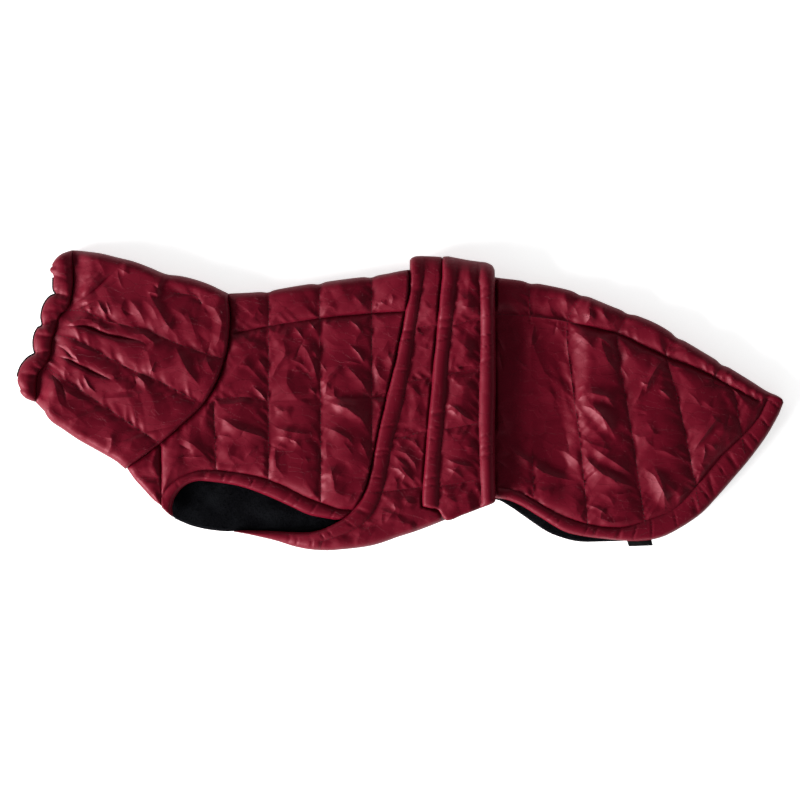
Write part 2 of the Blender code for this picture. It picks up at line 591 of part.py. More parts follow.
def chest_panel():
    """The gusset below the neck seam, folded along the chest."""
    wall = ClothWall()
    side = moved(smooth(SIDE_SEAM, FINE_STEP)[::-1], SEAM_GAP)[:-1]
    silhouette = smooth(CHEST_EDGE, FINE_STEP)[::-1]
    neck = moved(smooth(NECK_FOOT, FINE_STEP), SEAM_GAP)
    fold = moved(silhouette, CHEST_TURN)
    neck[-1], fold[0], fold[-1] = side[0], side[-1], neck[0]
    stitching = [smooth(line, FINE_STEP) for line in QUILT_CHEST] + [side, neck]

    def near_top(points):
        return NEAR_LEVEL + WALL + quilted(points, stitching, BODY_PUFF, ())

    runs = (side, fold, neck)
    side_run, fold_run, neck_run = wall.area(runs, near_top, level(NEAR_LEVEL), FINE_STEP, QUILT_CHEST)
    far_side, far_fold, far_neck = wall.area(runs, level(0), level(FAR_WALL), FAR_STEP)
    wall.rims([side_run, neck_run, far_side, far_neck])
    wall.turn(fold_run, far_fold, squared(-normals(silhouette), (0, -1), NECK_DOWN), CHEST_TURN)
    return wall


def belly_fold():
    """The belly's silhouette, how far the near wing's turn reaches along it, and the turn's line."""
    silhouette = smooth(BELLY_EDGE, STEP)[::-1]
    silhouette = silhouette[silhouette[:, 0] > -152]
    reach = BELLY_TURN * taper(silhouette, 0.8, 0.25, 70)
    return silhouette, reach, moved(silhouette, reach)


def flat_piece(outline, low, high, spacing=FAR_STEP):
    """A piece of even thickness within one outline, clockwise."""
    wall = ClothWall()
    closed = np.vstack([outline, outline[:1]])
    wall.rims(wall.area((closed[: len(closed) // 2 + 1], closed[len(closed) // 2 :]), high, low, spacing))
    return wall


def belly_panel():
    """The strip between the legs, which lies on the ground with its inside up."""
    fold = moved(belly_fold()[2], SEAM_GAP)
    front_edge = smooth(BELLY_EDGE, STEP)[::-1]
    front_edge = front_edge[front_edge[:, 0] < -157]
    front_edge = moved(front_edge, SEAM_GAP)
    top = [(-227.3, -103.2), (-227.3, -66), (-90, -63.7), (90.4, -63.7), (90, -95.5), (60, -105)]
    outline = np.vstack([top, fold, front_edge, [(-216.3, -111), (-219.5, -105.8)]])
    return flat_piece(outline, level(0), level(THIN_WALL))


def wrap_spine(wall, upper, lower, silhouette):
    """Turns a wing over the spine, out to its silhouette there."""
    plan = upper[0]
    x, y = np.array(silhouette, float).T
    reach = np.interp(plan[:, 0], x, y) - plan[:, 1]
    wall.turn(upper, lower, np.tile((0.0, 1.0), (len(plan), 1)), reach, reach - WRAP_WALL)


def belly_wing_far():
    """The far wing: up under the far side, over the spine, and down the near side as the belt on top."""
    wall = ClothWall()
    fold = spine_between(BELT_FRONT_X, BELT_REAR_X)
    rear, front = smooth(BELT_REAR, STEP)[::-1], smooth(BELT_FRONT, STEP)[::-1]
    end = smooth(BELT_END, FINE_STEP)[::-1]
    rear[0], rear[-1], end[-1] = fold[-1], end[0], front[0]
    front[-1] = fold[0]
    stitched = (STITCH_BELT_FRONT, STITCH_BELT_REAR) + QUILT_BELT
    stitching = [smooth(line, FINE_STEP) for line in stitched]
    edges = (rear, front, end)

    def belt_inside(points):
        return BELT_LEVEL + LAYER_RISE * tip_share(points)

    def belt_top(points):
        relief = quilted(points, stitching, WING_PUFF, WING_FOLDS, (front, rear))
        return belt_inside(points) + THIN_WALL + relief - soft_edge(points, edges)

    fold_run, *rims = wall.area((fold, rear, end, front), belt_top, belt_inside, FINE_STEP, stitched)
    far_front = smooth(FAR_WING_FRONT, STEP)[::-1]
    far_front[-1] = fold[0]
    far_rear = smooth((tuple(fold[-1]), (90.8, 20), (90.4, -63.4)), STEP)
    seam = smooth((tuple(far_rear[-1]), tuple(far_front[0])), STEP)
    far_run, *far_rims = wall.area((fold, far_rear, seam, far_front), level(0), level(THIN_WALL), FAR_STEP)
    wall.rims(rims + far_rims)
    wrap_spine(wall, fold_run, far_run, BELT_TOP)
    return wall


def belly_wing_near():
    """The near wing: a narrow tongue along the belly that widens and runs up over the spine."""
    wall = ClothWall()
    fold = spine_between(WING_FRONT_X, WING_REAR_X)
    silhouette, belly_reach, belly_line = belly_fold()
    foot = smooth((WING_REAR_CORNER, (62, -104.5), tuple(belly_line[0])), STEP)
    rear = np.vstack([smooth((tuple(fold[-1]), (88, 20), WING_REAR_CORNER), STEP), foot[1:]])
    front = smooth(WING_FRONT, STEP)[::-1]
    front[0], front[-1] = belly_line[-1], fold[0]
    stitched = (STITCH_WING,) + QUILT_WING
    stitching = [smooth(line, FINE_STEP) for line in stitched]
    edges = (front, rear)
    belt = np.vstack([smooth(BELT_FRONT, STEP), smooth(BELT_END, STEP), [(92, -97), (92, 140), (40, 140)]])

    def wing_inside(points):
        on_side = ease(-115, -62, points[:, 0])
        return STRIP_LEVEL + (WING_LEVEL - STRIP_LEVEL) * on_side + LAYER_RISE * tip_share(points)

    def wing_top(points):
        under_belt = footprint(points, belt, 7, 7)
        relief = quilted(points, stitching, WING_PUFF, WING_FOLDS, (front,), under_belt)
        return wing_inside(points) + THIN_WALL + relief - soft_edge(points, edges)

    fold_run, rear_run, belly_run, front_run = wall.area(
        (fold, rear, belly_line, front), wing_top, wing_inside, FINE_STEP, stitched
    )
    tip_end = fold[::-1] - (0, TIP_DEPTH)
    tip_runs = (fold, np.array([fold[-1], tip_end[0]]), tip_end, np.array([tip_end[-1], fold[0]]))
    tip_run, *tip_rims = wall.area(tip_runs, level(LAYER_RISE), level(LAYER_RISE + THIN_WALL), FAR_STEP)
    wall.rims([rear_run, front_run] + tip_rims)
    wrap_spine(wall, fold_run, tip_run, WING_TOP)
    wall.turn(belly_run, None, -normals(silhouette), belly_reach)
    return wall


def lining_belly():
    """Fleece of the belly panel, seen through the near leg opening."""
    leg = moved(smooth(LEG_EDGE[:-1], STEP), HIDDEN_EDGE)[::-1]
    foot = [(-62.5, -119.5), (-80, -125), (-94, -126), (-131, -125.3), (-156, -125.8), (-171, -124.8),
            (-186, -122.8), (-201, -119), (-213.5, -113.6), (-217, -108.5)]
    low = THIN_WALL + SEAM_GAP
    return flat_piece(np.vstack([leg, foot]), level(low), level(low + FLEECE))


def lining_tail():
    """Fleece of the far side, seen below the near side's tail edge."""
    edge = smooth(FAR_TAIL_EDGE, STEP)
    edge = moved(edge[(edge[:, 0] > 97) & (edge[:, 0] < 205) & (edge[:, 1] < -90)], 0.8)
    inner_edge = moved(edge, 15)[::-1]
    outline = np.vstack([edge, inner_edge])

    def bottom(points):
        return far_inside(points) + SEAM_GAP

    return flat_piece(outline, bottom, lambda points: bottom(points) + THIN_FLEECE)


def lining_mouth():
    """Fleece edge that shows as a thin line round the mouth."""
    mouth = smooth(MOUTH, HEM_STEP)[2:-2]
    outline = np.vstack([moved(mouth, -5.0), moved(mouth, 1.3)[::-1]])
    low = FAR_WALL + SEAM_GAP
    return flat_piece(outline, level(low), level(low + FLEECE))


def side_label():
    """A bare tag caught in the seam at the tail's lower edge."""
    outline = np.array([(213.5, -122), (238, -120.5), (242.9, -139.7), (219.8, -140.6)])
    low = FAR_WALL + SEAM_GAP
    return flat_piece(outline, level(low), level(low + LABEL))


PIECES = (
    (back_panel, "nylon"), (collar, "nylon"), (collar_casing, "nylon"), (chest_panel, "nylon"),
    (belly_panel, "nylon"), (belly_wing_near, "nylon"), (belly_wing_far, "nylon"),
    (lining_belly, "fleece"), (lining_tail, "fleece"), (lining_mouth, "fleece"), (side_label, "tape"),
)


def cloth_material(name, colour, roughness):
    """A plain Principled material."""
    material = bpy.data.materials.new(name)
    material.use_nodes = True
    surface = material.node_tree.nodes["Principled BSDF"]
    surface.inputs["Base Color"].default_value = colour
    surface.inputs["Roughness"].default_value = roughness
    surface.inputs["Metallic"].default_value = 0.0
    return material


def main():
    """Clears the scene and makes each piece."""
    for old in list(bpy.data.objects):
        bpy.data.objects.remove(old, do_unlink=True)
    collection = bpy.data.collections.new("dog_winter_coat")
    bpy.context.scene.collection.children.link(collection)
    materials = {
        "nylon": cloth_material("quilted_nylon", BURGUNDY, 0.32),
        "fleece": cloth_material("black_fleece", BLACK_FLEECE, 0.95),
        "tape": cloth_material("black_tape", BLACK_TAPE, 0.7),
    }
    for build, material in PIECES:
        build().make(build.__name__, materials[material], collection)


main()
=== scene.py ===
"""Looks of a quilted, padded winter coat for a slim dog, empty and lying flat on its right side.

The coat is folded along the spine (+Y) and along the belly (-Y); the neck is at -X and the tail at +X.
Plans, heights and creases are in millimetres, and a mesh is written in metres. Every sewn piece is one
closed cloth wall: a quilted nylon skin outside, a fleece skin inside, turns at the folds and rims at the
cut edges.
"""

from __future__ import annotations

import logging
import math
from collections.abc import Callable, Sequence
from dataclasses import dataclass, field
from enum import Enum
from functools import partial
from typing import NamedTuple

import bmesh
import bpy
import numpy as np
from bpy.types import ID, Material, Mesh, Node, NodeSocket, NodeTree, Object
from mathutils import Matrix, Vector
from mathutils.geometry import delaunay_2d_cdt

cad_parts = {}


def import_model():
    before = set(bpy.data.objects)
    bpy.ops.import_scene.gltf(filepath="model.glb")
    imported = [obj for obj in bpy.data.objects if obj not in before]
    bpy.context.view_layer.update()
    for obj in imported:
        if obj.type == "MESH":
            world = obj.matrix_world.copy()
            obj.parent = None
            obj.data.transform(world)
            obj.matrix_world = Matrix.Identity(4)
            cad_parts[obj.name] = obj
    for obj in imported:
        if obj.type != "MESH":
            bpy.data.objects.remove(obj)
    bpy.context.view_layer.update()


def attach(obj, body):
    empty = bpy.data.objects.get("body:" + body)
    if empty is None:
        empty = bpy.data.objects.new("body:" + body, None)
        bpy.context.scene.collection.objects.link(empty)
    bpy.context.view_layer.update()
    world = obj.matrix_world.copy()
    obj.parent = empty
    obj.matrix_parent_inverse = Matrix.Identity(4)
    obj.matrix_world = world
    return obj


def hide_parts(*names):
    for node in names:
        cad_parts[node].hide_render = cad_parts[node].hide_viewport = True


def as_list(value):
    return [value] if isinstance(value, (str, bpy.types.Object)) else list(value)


log = logging.getLogger("coat")

Array = np.ndarray
Pair = tuple[float, float]
Rows = Sequence[Pair]
Lines = Sequence[Array]
Height = Callable[[Array], Array]
AddNode = Callable[..., Node]
Inputs = dict[str, object]

# --- walls and levels, mm
MM = 0.001
PER_METRE = 1000.0  # millimetres in a metre
BAND_SCALE = 50.0  # the wave pattern's scale at which its bands are 2 pi mm apart
ABOVE_ALL = 0.1  # metres, higher than any part of the coat
WHITE = (1.0, 1.0, 1.0, 1.0)
SEAM_GAP = 0.08  # between two pieces that are sewn together
WALL = 3.6  # padded cloth where it is stitched down
FAR_WALL = 5.8  # padded cloth of the side that lies on the ground
THIN_WALL = 3.4  # padded cloth pressed between other layers
FLEECE, THIN_FLEECE = 1.2, 0.8
LABEL = 1.0
NEAR_LEVEL = 8.6  # inside of the side that faces up
LAYER_RISE = 3.9  # one pressed layer and the gap over it
STRIP_LEVEL = 5.4  # inside of the near wing's narrow front tongue
WING_LEVEL = 13.1  # inside of the near wing where it lies on the coat's side
BELT_LEVEL = 17.2  # inside of the far wing where it lies on the near wing
HIDDEN_EDGE = 1.5  # how far a lining runs on under the edge that it shows beside
MOUTH_SHOWS = 1.9  # how far the fleece shows round the mouth

# --- folds over an edge, mm
SPINE_TURN, COLLAR_TURN, BELLY_TURN, CHEST_TURN = 8.0, 8.0, 8.0, 6.5  # how far they bulge
INNER_TURN = 0.6  # reach of a turn's inner skin as a share of its outer skin's
WRAP_WALL = 4.2  # thickness of a wing where it wraps the spine
TIP_DEPTH = 18.0  # length of the near wing's end beyond the spine
UP = (0.02, 1.0)  # ways in which the turns' ends point
NECK_DOWN = (-0.8, -0.6)
MOUTH_DOWN = (-0.1, -1.0)

# --- how finely the cloth is cut, mm
SKIN_STEP = 1.5  # skins that face up
HEM_STEP = 1.6  # the collar's hem
UNDER_STEP = 3.4  # skins that lie on the ground
INNER_STEP = 12.0  # plain insides
PLAN_STEP = 9.0  # outlines that are only measured against
EDGE_STEP, QUILT_STEP = 4.0, 4.5  # edges and stitch lines
FAR_EDGE_STEP, FAR_QUILT_STEP = 5.0, 6.0  # and those of the side that lies on the ground
LINING_STEP, LABEL_STEP = 3.0, 2.0  # their outlines
ROUND_CUTS = 12  # between two points that a round curve passes through
CLEAR_SHARE, APART_SHARE = 0.6, 0.5  # least steps from a point to an outline or line, and between points
TURN_STEPS = 10  # rows of facets round a fold

# --- padding and quilting, mm
BODY_PUFF, BODY_PULL = 6.0, 0.55  # height of the padding, and the share of it that quilting pulls down
COLLAR_PUFF, COLLAR_PULL = 7.0, 0.42
WING_PUFF = 3.2
CHEST_PUFF = 4.2
QUILT_REACH = 22.0  # distance from a stitch line at which the padding is full
QUILT_RISE, STEEP_SHARE = 3.5, 0.2  # distance in which a share of it rises steeply
SEAM_REACH = 3.2  # how widely a seam pulls the padding down
SLACK_PULL, SLACK_REACH = 0.3, 5.0  # how far slack stitches pull it down, and how widely
SWELL, SWELL_SIZE = 2.0, (60, 45)  # uneven filling: its height, and its length and breadth
SWELL_SHIFT = (3, 8)  # where its pattern starts
GRAIN_CELLS = 64  # after which a pattern repeats
PUCKER, PUCKER_PITCH, PUCKER_REACH = 0.65, 9.0, 7.0  # the little pleats beside a stitch line
PUCKER_LEAN, PUCKER_RUN, PUCKER_START = 12.0, 30.0, 2.5  # their slant, their length, and where they begin
NEXT_LINE = 1000.0  # how far the pattern moves on from one line to the next
PUCKER_SIDES = (7.3, 3.1)  # how far their pattern shifts from one side of a line to the other
CRUMPLES = ((0.5, 30, 1.4), (-0.75, 21, 0.9), (1.9, 15, 0.5))  # direction in radians, length, height
CRUMPLE_BEND, CRUMPLE_BEND_SIZE = 0.8, 45.0  # how they wander
CRUMPLE_PATCH, CRUMPLE_SHOWS = 32.0, (-0.2, 0.5)  # size of the patches that have them
CRUMPLE_START = 9.0  # distance from a stitch line at which they are full
LEAST_RISE = -2.6  # the deepest that folds and sagging take the skin below its stitched-down level
CHANNEL_MOST = 24.0  # widest turned and topstitched edge
BODY_ROLL, WING_ROLL, REAR_ROLL = 3.0, 2.7, 4.8  # height of the edges' rolls, the last at the belt's rear
TAIL_HEM = 17  # points of TAIL_EDGE that its hem passes
ROLL_EDGE, ROLL_SHAPE = 1.0, 0.6  # half width of a roll's stitched edge, and how round it is
RUCHE_PITCH, RUCHE_DEPTH = 9.5, 1.3  # gathers across a channel
RUCHE_LEAN, RUCHE_RUN, RUCHE_SHIFT = 0.3, 50.0, 31.0  # their slant, their length and their place
RUCHE_SHARP, RUCHE_SHAPE = 4.5, 0.7  # how narrow they are, and how they die away at the roll's sides
EDGE_SOFTNESS, EDGE_DROP = 3.2, 2.6  # how far in and down a cut edge is rounded

# --- how the layers press each other, mm
GROUND_MARGIN, GROUND_RAMP = 15.0, 20.0  # how the far side rises over what lies under it
TIP_MARGIN, TIP_RAMP = 8.0, 30.0  # and over the near wing's end
PRESS_RAMP = 1.6  # how sharply the padding is pressed flat under a wing
UNDER_BELT, UNDER_BELT_RAMP = 0.4, 1.4  # how the belt presses the near wing
SAG_START, SAG_REAR, SAG_DEEP, SAG_END = 60.0, 90.0, 155.0, 181.0  # along the coat, behind the belt
SAG_SHARES = (0.74, 1.44)  # of the padding: at the belt's rear, and where the sag is deepest
SAG_FOOT, SAG_HEAD, HEAD_SHARE = (-105, -60), (82, 95), 0.6  # across the coat, where it fades out

# --- folds in the cloth, mm
FOLD_WAY = (0.86, 0.51)  # the way along which a listed fold climbs
FOLD_SHARE, RIDGE_SHARE = 0.68, 0.8  # crest and ridge height as shares of the fold's listed height
FOLD_CURVE = 1.5  # how much steeper a fold's slope is at its crest
FOLD_BACK = 5.0  # how far the slope behind the crest runs out, in widths
FOLD_FADE, FOLD_POINT = 0.4, 0.3  # share of a fold's length that each end takes, and its width there
FOLD_AT_LINE, FOLD_START = 0.25, 5.0  # share of its height at a stitch line, and how far off it is full
FOLD_CUT = 5.0  # step of a pinched one's line
THIN_FOLD = 2.2  # a fold narrower than this is a sharp ridge or trough
FACING_LEAST = 0.45  # and so is one of which a lower share than this lies across FOLD_WAY
SMALL_LENGTH, SMALL_WIDTH, SMALL_HEIGHT = (9, 26), (1.4, 3.0), (0.7, 1.6)  # of the scattered slight folds
SMALL_BOW = 2.0  # how far they curve
SMALL_FALLING, SMALL_RISING = (-0.8, 0.5), (0.9, 0.3)  # mean and spread of their directions, in radians
FALLING_SHARE = 0.7  # of those that slant down to the right


class Crease(NamedTuple):
    """A fold along a line in the plan, where the cloth climbs (or drops, where negative) along FOLD_WAY."""

    rows: Rows
    width: float  # from the line to the fold's crest
    height: float
    pinch: float = 0.0  # share by which it is a ridge or trough, the same on both sides, instead


def folds(*listed: tuple[Rows | float, ...]) -> tuple[Crease, ...]:
    """Creases from their rows, width and height, and their pinch where they have one."""
    return tuple(Crease(*one) for one in listed)


# --- outlines: x, y
SPINE = (
    (-165, 102.2), (-132, 104.2), (-94, 110.4), (-56, 115.7), (-17, 120.5), (10, 125), (48, 125),
    (84, 119.3), (96, 117), (125, 113.3), (167, 104.2), (205, 89.3), (244, 74.4), (275, 55.7), (305, 37.9),
    (336, 19.2), (353, 8.4), (361.5, 4.6), (366.4, 1.4), (367.9, -2.5),
)
TAIL_EDGE = (
    (367.5, -6), (361, -18.5), (351.4, -35), (336, -56), (320, -75), (303, -94.5), (288, -109.8),
    (266, -124.4), (247, -132.8), (224, -135.4), (194, -133), (171, -129.8), (155, -124.9), (135, -112.8),
    (114, -100.3), (96, -94.6), (67, -95.5), (29, -103), (-10, -109), (-38, -112), (-62, -115),
)
FAR_TAIL_EDGE = ((361, -6), (357, -17), (346, -33), (324, -60), (298, -91), (284, -106), (262, -121),
                 (245, -130), (224, -134.5), (194, -136), (171, -135.8), (152, -131), (138, -124.5),
                 (117, -110), (106, -102.5), (92, -95.5)) + TAIL_EDGE[-5:-1] + ((-62, -112),)
LEG_EDGE = (
    (-62, -115), (-87, -110.2), (-104, -102.5), (-123, -93.9), (-145, -85.3), (-162, -81), (-180, -78.5),
    (-195, -77.7), (-207, -82.8), (-215.6, -93), (-218.6, -103), (-217.5, -112.5),
)
FAR_LEG_EDGE = (
    (-62, -112), (-86, -106), (-103, -98), (-122, -90), (-144, -81.5), (-162, -77.5), (-180, -75),
    (-196, -74.4), (-210, -80), (-219, -91.5), (-222, -100),
)
LEG_CORNER = ((-223, -108.2), (-228.4, -102.8))  # where the channel's front end meets the chest
SIDE_SEAM = ((-228.4, -102.8), (-228.6, -93), (-229.3, -66), (-229.8, -41.8))
NECK_TOP = (
    (-229.8, -41.8), (-216, -30), (-202.6, -17.8), (-187.2, -2.4), (-174.8, 19.7), (-166.3, 45.6),
    (-163.2, 69.6), (-163.2, 86), (-164.6, 94.2),
)
NECK_FOOT = ((-257, -61.5), (-248.6, -55.7), (-239, -48.5), (-229.8, -41.8))
CHEST_EDGE = ((-261, -66), (-255.4, -75.4), (-247.7, -84), (-240, -92.6), (-234, -98.5), (-229.6, -102.6))
BELLY_EDGE = (
    (-216, -114.3), (-201.6, -120.5), (-186.2, -124.3), (-170.9, -126.2), (-156, -127.2), (-132.5, -132),
    (-117, -135.8), (-101.8, -140.6), (-86.4, -143.5), (-71, -144.5), (-55.7, -143.5), (-32.6, -140.8),
    (-17.3, -137), (-1.9, -131.4), (13.4, -126.6), (28.8, -120.9), (43.5, -115),
)
WING_FRONT = (
    (9.3, 117), (8.4, 100), (3.6, 77.3), (-2.1, 48.9), (-7.8, 24.2), (-19.2, -23.3), (-25.3, -54),
    (-34, -88.2), (-48, -108.9), (-66.5, -120.5), (-80, -125.5), (-94, -127), (-131.6, -125.6),
    (-162, -125),
)
BELT_FRONT = (
    (40.6, 118.5), (38, 100), (35.8, 71.5), (32.4, 37.9), (29.8, 7.2), (26.3, -29.3), (23.8, -60),
    (21.4, -90.7), (21.4, -101.7),
)
BELT_END = (
    (21.4, -101.7), (29, -103.5), (36.1, -104.8), (44.6, -115.1), (60, -110), (77.8, -103.2), (90, -98),
    (91.4, -93),
)
BELT_REAR = ((91.4, -93), (90.6, -35), (91.6, 11), (91.2, 70), (90.5, 113.5))
FAR_WING_FRONT = ((40.6, 118.5), (38, 100), (30, 50), (14, 0), (-14, -36), (-48, -56), (-72, -63.5))
MOUTH = (
    (-333.2, 128.4), (-335.4, 126.4), (-335.2, 123), (-332.4, 119.4), (-332.2, 106.8), (-330, 101.9),
    (-336.6, 98), (-341.6, 90.3), (-343.8, 80.4), (-342.7, 71.5), (-347.6, 68.3), (-351, 59.4),
    (-351, 49.5), (-349.8, 44.6), (-357.5, 39.6), (-364.1, 30.8), (-366.9, 18.7), (-364, 10),
)
ELASTIC = (
    (-314.9, 136), (-313.9, 125.6), (-313.9, 109.9), (-317.9, 89.2), (-325.6, 82.6), (-328.9, 73.8),
    (-331.2, 65), (-334.4, 56.2), (-335.5, 44.1), (-339.9, 34.1), (-347, 26.4), (-349.2, 15.4), (-349.4, 6),
)
COLLAR_TOP = (
    (-314.9, 144.4), (-301.4, 142.8), (-286.1, 140.6), (-270.7, 136.8), (-255.4, 133), (-240, 127.3),
    (-224.6, 121), (-209.3, 118.9), (-194, 115), (-178.6, 109.2), (-164.6, 102.4),
)
COLLAR_FOOT = (
    (-349.8, -1.5), (-346, -6.5), (-335.5, -19.7), (-324.5, -27.4), (-309.1, -37.9), (-293.8, -46.6),
    (-278.4, -55.2), (-263, -65.4),
)

WING_TOP = (
    (9, 133.5), (11, 136.4), (15, 138), (21, 138.3), (32, 137.8), (40.6, 137.2), (41.6, 133.4), (67, 128.2),
    (88, 124.1),
)
BELT_TOP = (
    (40, 136.4), (42, 137.6), (46, 138), (51.8, 136.8), (67.2, 133.9), (82.6, 132), (87.5, 129.8),
    (90, 127.5), (91, 124),
)

# --- stitch lines: x, y
QUILT_BODY = (
    ((-159.2, 63.6), (-126.5, 70.6), (-77.8, 78), (-27.8, 82.8), (9, 85)),
    ((-173, 1.4), (-147.8, 2.4), (-126.7, -1.4)), ((-28.8, 1.9), (0, 2.4)),
    ((92.2, 82.1), (124.8, 80.2), (159, 75.4), (193.9, 67.1), (214, 61.2), (253.2, 41.8), (288, 28.3),
     (343, -1.5)),
    ((-178.6, -3), (-176.3, -66)), ((-126, 101), (-126, -79)), ((-77.1, 108), (-75.8, -98)),
    ((-27.1, 114), (-27, -50)), ((123.8, 108), (124.5, 80)), ((127, -55), (128, -90)),
    ((172.8, 98), (160, 71), (164.9, 16), (172.8, -42), (180, -118)),
    ((218.9, 80), (208, 59.2), (214, 16), (223.7, -42), (235, -119)),
    ((265, 57), (255.1, 42.7), (265.8, 2.4), (280.3, -67), (286, -100)),
    ((308, 33), (300.2, 16), (318.7, 8.4), (325.4, -23), (330, -50)),
)
FIRM_BODY = (QUILT_BODY[0], QUILT_BODY[3])  # the long rows beside the spine
SLACK_BODY = (  # stitches that barely hold the padding down
    ((-126.7, -1.4), (-76.8, 1.4), (-28.8, 1.9)), ((124.5, 80), (127, -55)),
)
STITCH_TAIL = (
    (352, 0), (339.4, -23), (308, -54), (288, -78), (265, -103), (243.4, -113), (214, -121.9),
    (184.3, -120), (155, -111), (133.4, -99.4), (112, -87.6), (92, -83.7),
)
STITCH_LEG = (
    (-12, -105), (-30, -106), (-48.7, -105.3), (-58.6, -104.7), (-75.6, -98.9), (-91.6, -92.7),
    (-108.1, -84.2), (-125.9, -76.6), (-142, -72.3), (-162.5, -69), (-180, -67.3), (-195, -68.2),
    (-210.5, -74.2), (-222, -83), (-228, -92),
)
STITCH_WING = (
    (23.5, 125), (16.9, 83), (10.2, 39.4), (1.6, -8.2), (-6.7, -37), (-11.6, -62.5), (-16.8, -87.8),
    (-28.8, -111.8), (-48, -126), (-75, -135.8),
)
STITCH_BELT_FRONT = ((54.7, 126), (50.9, 83), (45.9, 38), (43.5, 1.4), (38, -60), (36.4, -104))
STITCH_BELT_REAR = ((75.7, 126), (77, 76), (76.5, 38), (75.3, -23), (77.8, -100))
QUILT_BELT = (
    ((52, 71.5), (77, 79)), ((46, 25), (76.5, 30)), ((41, -28.5), (76, -22)), ((37, -83), (77, -76)),
)
QUILT_WING = (
    ((7.7, 17.3), (30, 21.6)), ((-2, -36.5), (24, -30)), ((-23, -89), (21, -83.5)), ((19, 70), (35, 71.5)),
)
SEWN_BODY = QUILT_BODY + (STITCH_TAIL, STITCH_LEG)
SEWN_BELT = (STITCH_BELT_FRONT, STITCH_BELT_REAR) + QUILT_BELT
SEWN_WING = (STITCH_WING,) + QUILT_WING
QUILT_CHEST = (((-248, -75), (-231, -75)),)
QUILT_COLLAR = (
    ((-321, 86), (-302, 85), (-285, 77), (-259, 70.5), (-238, 64.5), (-216, 55), (-196, 47.5), (-169, 39)),
    ((-329, 62), (-313, 58), (-295.7, 50), (-281, 41.5), (-263, 32), (-246.7, 24.5), (-228.5, 17), (-197, 0)),
    ((-340, 32), (-323.5, 20.6), (-301.4, 6.2), (-279.4, -8.2), (-263, -19.7), (-245.8, -31.2), (-232, -40)),
    ((-223, 103), (-212, 102), (-196, 99.4), (-190, 92.6)),
)


# --- folds and creases
COLLAR_CREASES = folds(
    (((-318, 88), (-307, 96), (-293, 105), (-278, 119), (-265, 128)), 3.5, -6, 0.8),
    (((-312, 122), (-304, 111), (-311, 96)), 3.5, 3.0),
    (((-325, 71), (-301, 70), (-279, 62), (-252, 57), (-244, 54), (-241, 50)), 2.4, -8, 0.85),
    (((-334, 43), (-321, 40), (-307, 33), (-293, 26), (-280, 21), (-272, 18)), 2.4, -7.5, 0.85),
    (((-224, 118), (-228, 109), (-230, 99), (-232, 95)), 3.5, -4.5),
    (((-262, 97), (-258, 91), (-252, 81), (-244, 70)), 4, 3.4),
    (((-242, 109), (-234, 98), (-227, 89), (-219, 74), (-211, 60)), 5, -4),
    (((-192, 93), (-180, 85), (-175, 74), (-176, 59), (-180, 48)), 4.5, 3.6),
    (((-215, 54), (-207, 43), (-200, 31), (-189, 12)), 4.5, -4.5),
    (((-186, 47), (-181, 36), (-177, 24)), 3, -2.4),
    (((-292, 2), (-276, 5), (-257, 7), (-242, 12), (-228, 17)), 4, -3.4),
    (((-326, 20), (-318, 10), (-305, 3), (-293, 0)), 3, -2.2),
    (((-304, 26), (-298, 13), (-290, 6)), 2, 2.4),
    (((-334, 28), (-325, 14), (-322, 0), (-318, -14)), 5, -2.6),
    (((-318, 72), (-306, 78), (-294, 77)), 2, 1.6),
    (((-334, 55), (-322, 49), (-314, 41), (-306, 38)), 2, -3.6, 0.5),
    (((-324, 88), (-312, 87), (-300, 91), (-288, 97)), 2, -3.6, 0.9),
    (((-342, 32), (-330, 21), (-322, 9), (-319, -4)), 2, -3.0, 0.9),
    (((-290, 97), (-286, 88), (-280, 80)), 1.5, 1.8),
    (((-262, 98), (-263, 88), (-260, 78)), 4, -2.6),
    (((-278, -45), (-271, -40), (-259, -37), (-246, -31), (-230, -28), (-211, -23)), 3.2, -3.0),
    (((-284, -36), (-278, -38), (-279, -45), (-282, -51)), 2.6, 3.2),
    (((-324, -16), (-321, -20), (-309, -14), (-296, -10), (-283, -7)), 3, -2.6),
    (((-323, -20), (-330, -8), (-332, 3), (-326, 14)), 5, -2.6),
    (((-273, 6), (-259, 8), (-245, 11)), 2.5, 1.8),
    (((-255, 26), (-252, 15), (-261, 8), (-276, 7)), 3.5, -3.4),
    (((-254, 24), (-248, 16), (-243, 5)), 3, 2.4),
    (((-288, 96), (-282, 88), (-279, 78)), 2.6, -2.4),
    (((-282, 96), (-278, 86), (-276, 79)), 2, 1.8),
    (((-311, 45), (-303, 34), (-296, 26)), 3, -2.6),
    (((-258, 66), (-253, 61), (-247, 61), (-238, 54), (-242, 48), (-250, 50)), 2.6, 2.6),
    (((-248, 97), (-240, 86), (-232, 75)), 4, 2.2),
    (((-232, 95), (-225, 95), (-217, 100), (-213, 105)), 2.4, 1.8),
    (((-221, 88), (-211, 80), (-202, 71)), 3.5, 2.0),
    (((-240, 46), (-234, 36), (-232, 26), (-236, 19)), 5, -2.4),
    (((-240, 24), (-226, 29), (-211, 37)), 2.2, 1.4),
    (((-342, -2), (-326, -10), (-313, -20), (-298, -29)), 6, 1.6),
    (((-312, 52), (-303, 47), (-292, 45)), 2.4, 1.6),
    (((-271, 126), (-265, 121), (-258, 119)), 2.6, 2.0),
    (((-303, 112), (-293, 116), (-284, 124)), 4, 1.8),
    (((-204, 88), (-198, 80), (-194, 69), (-193, 57)), 4, -2.2),
)
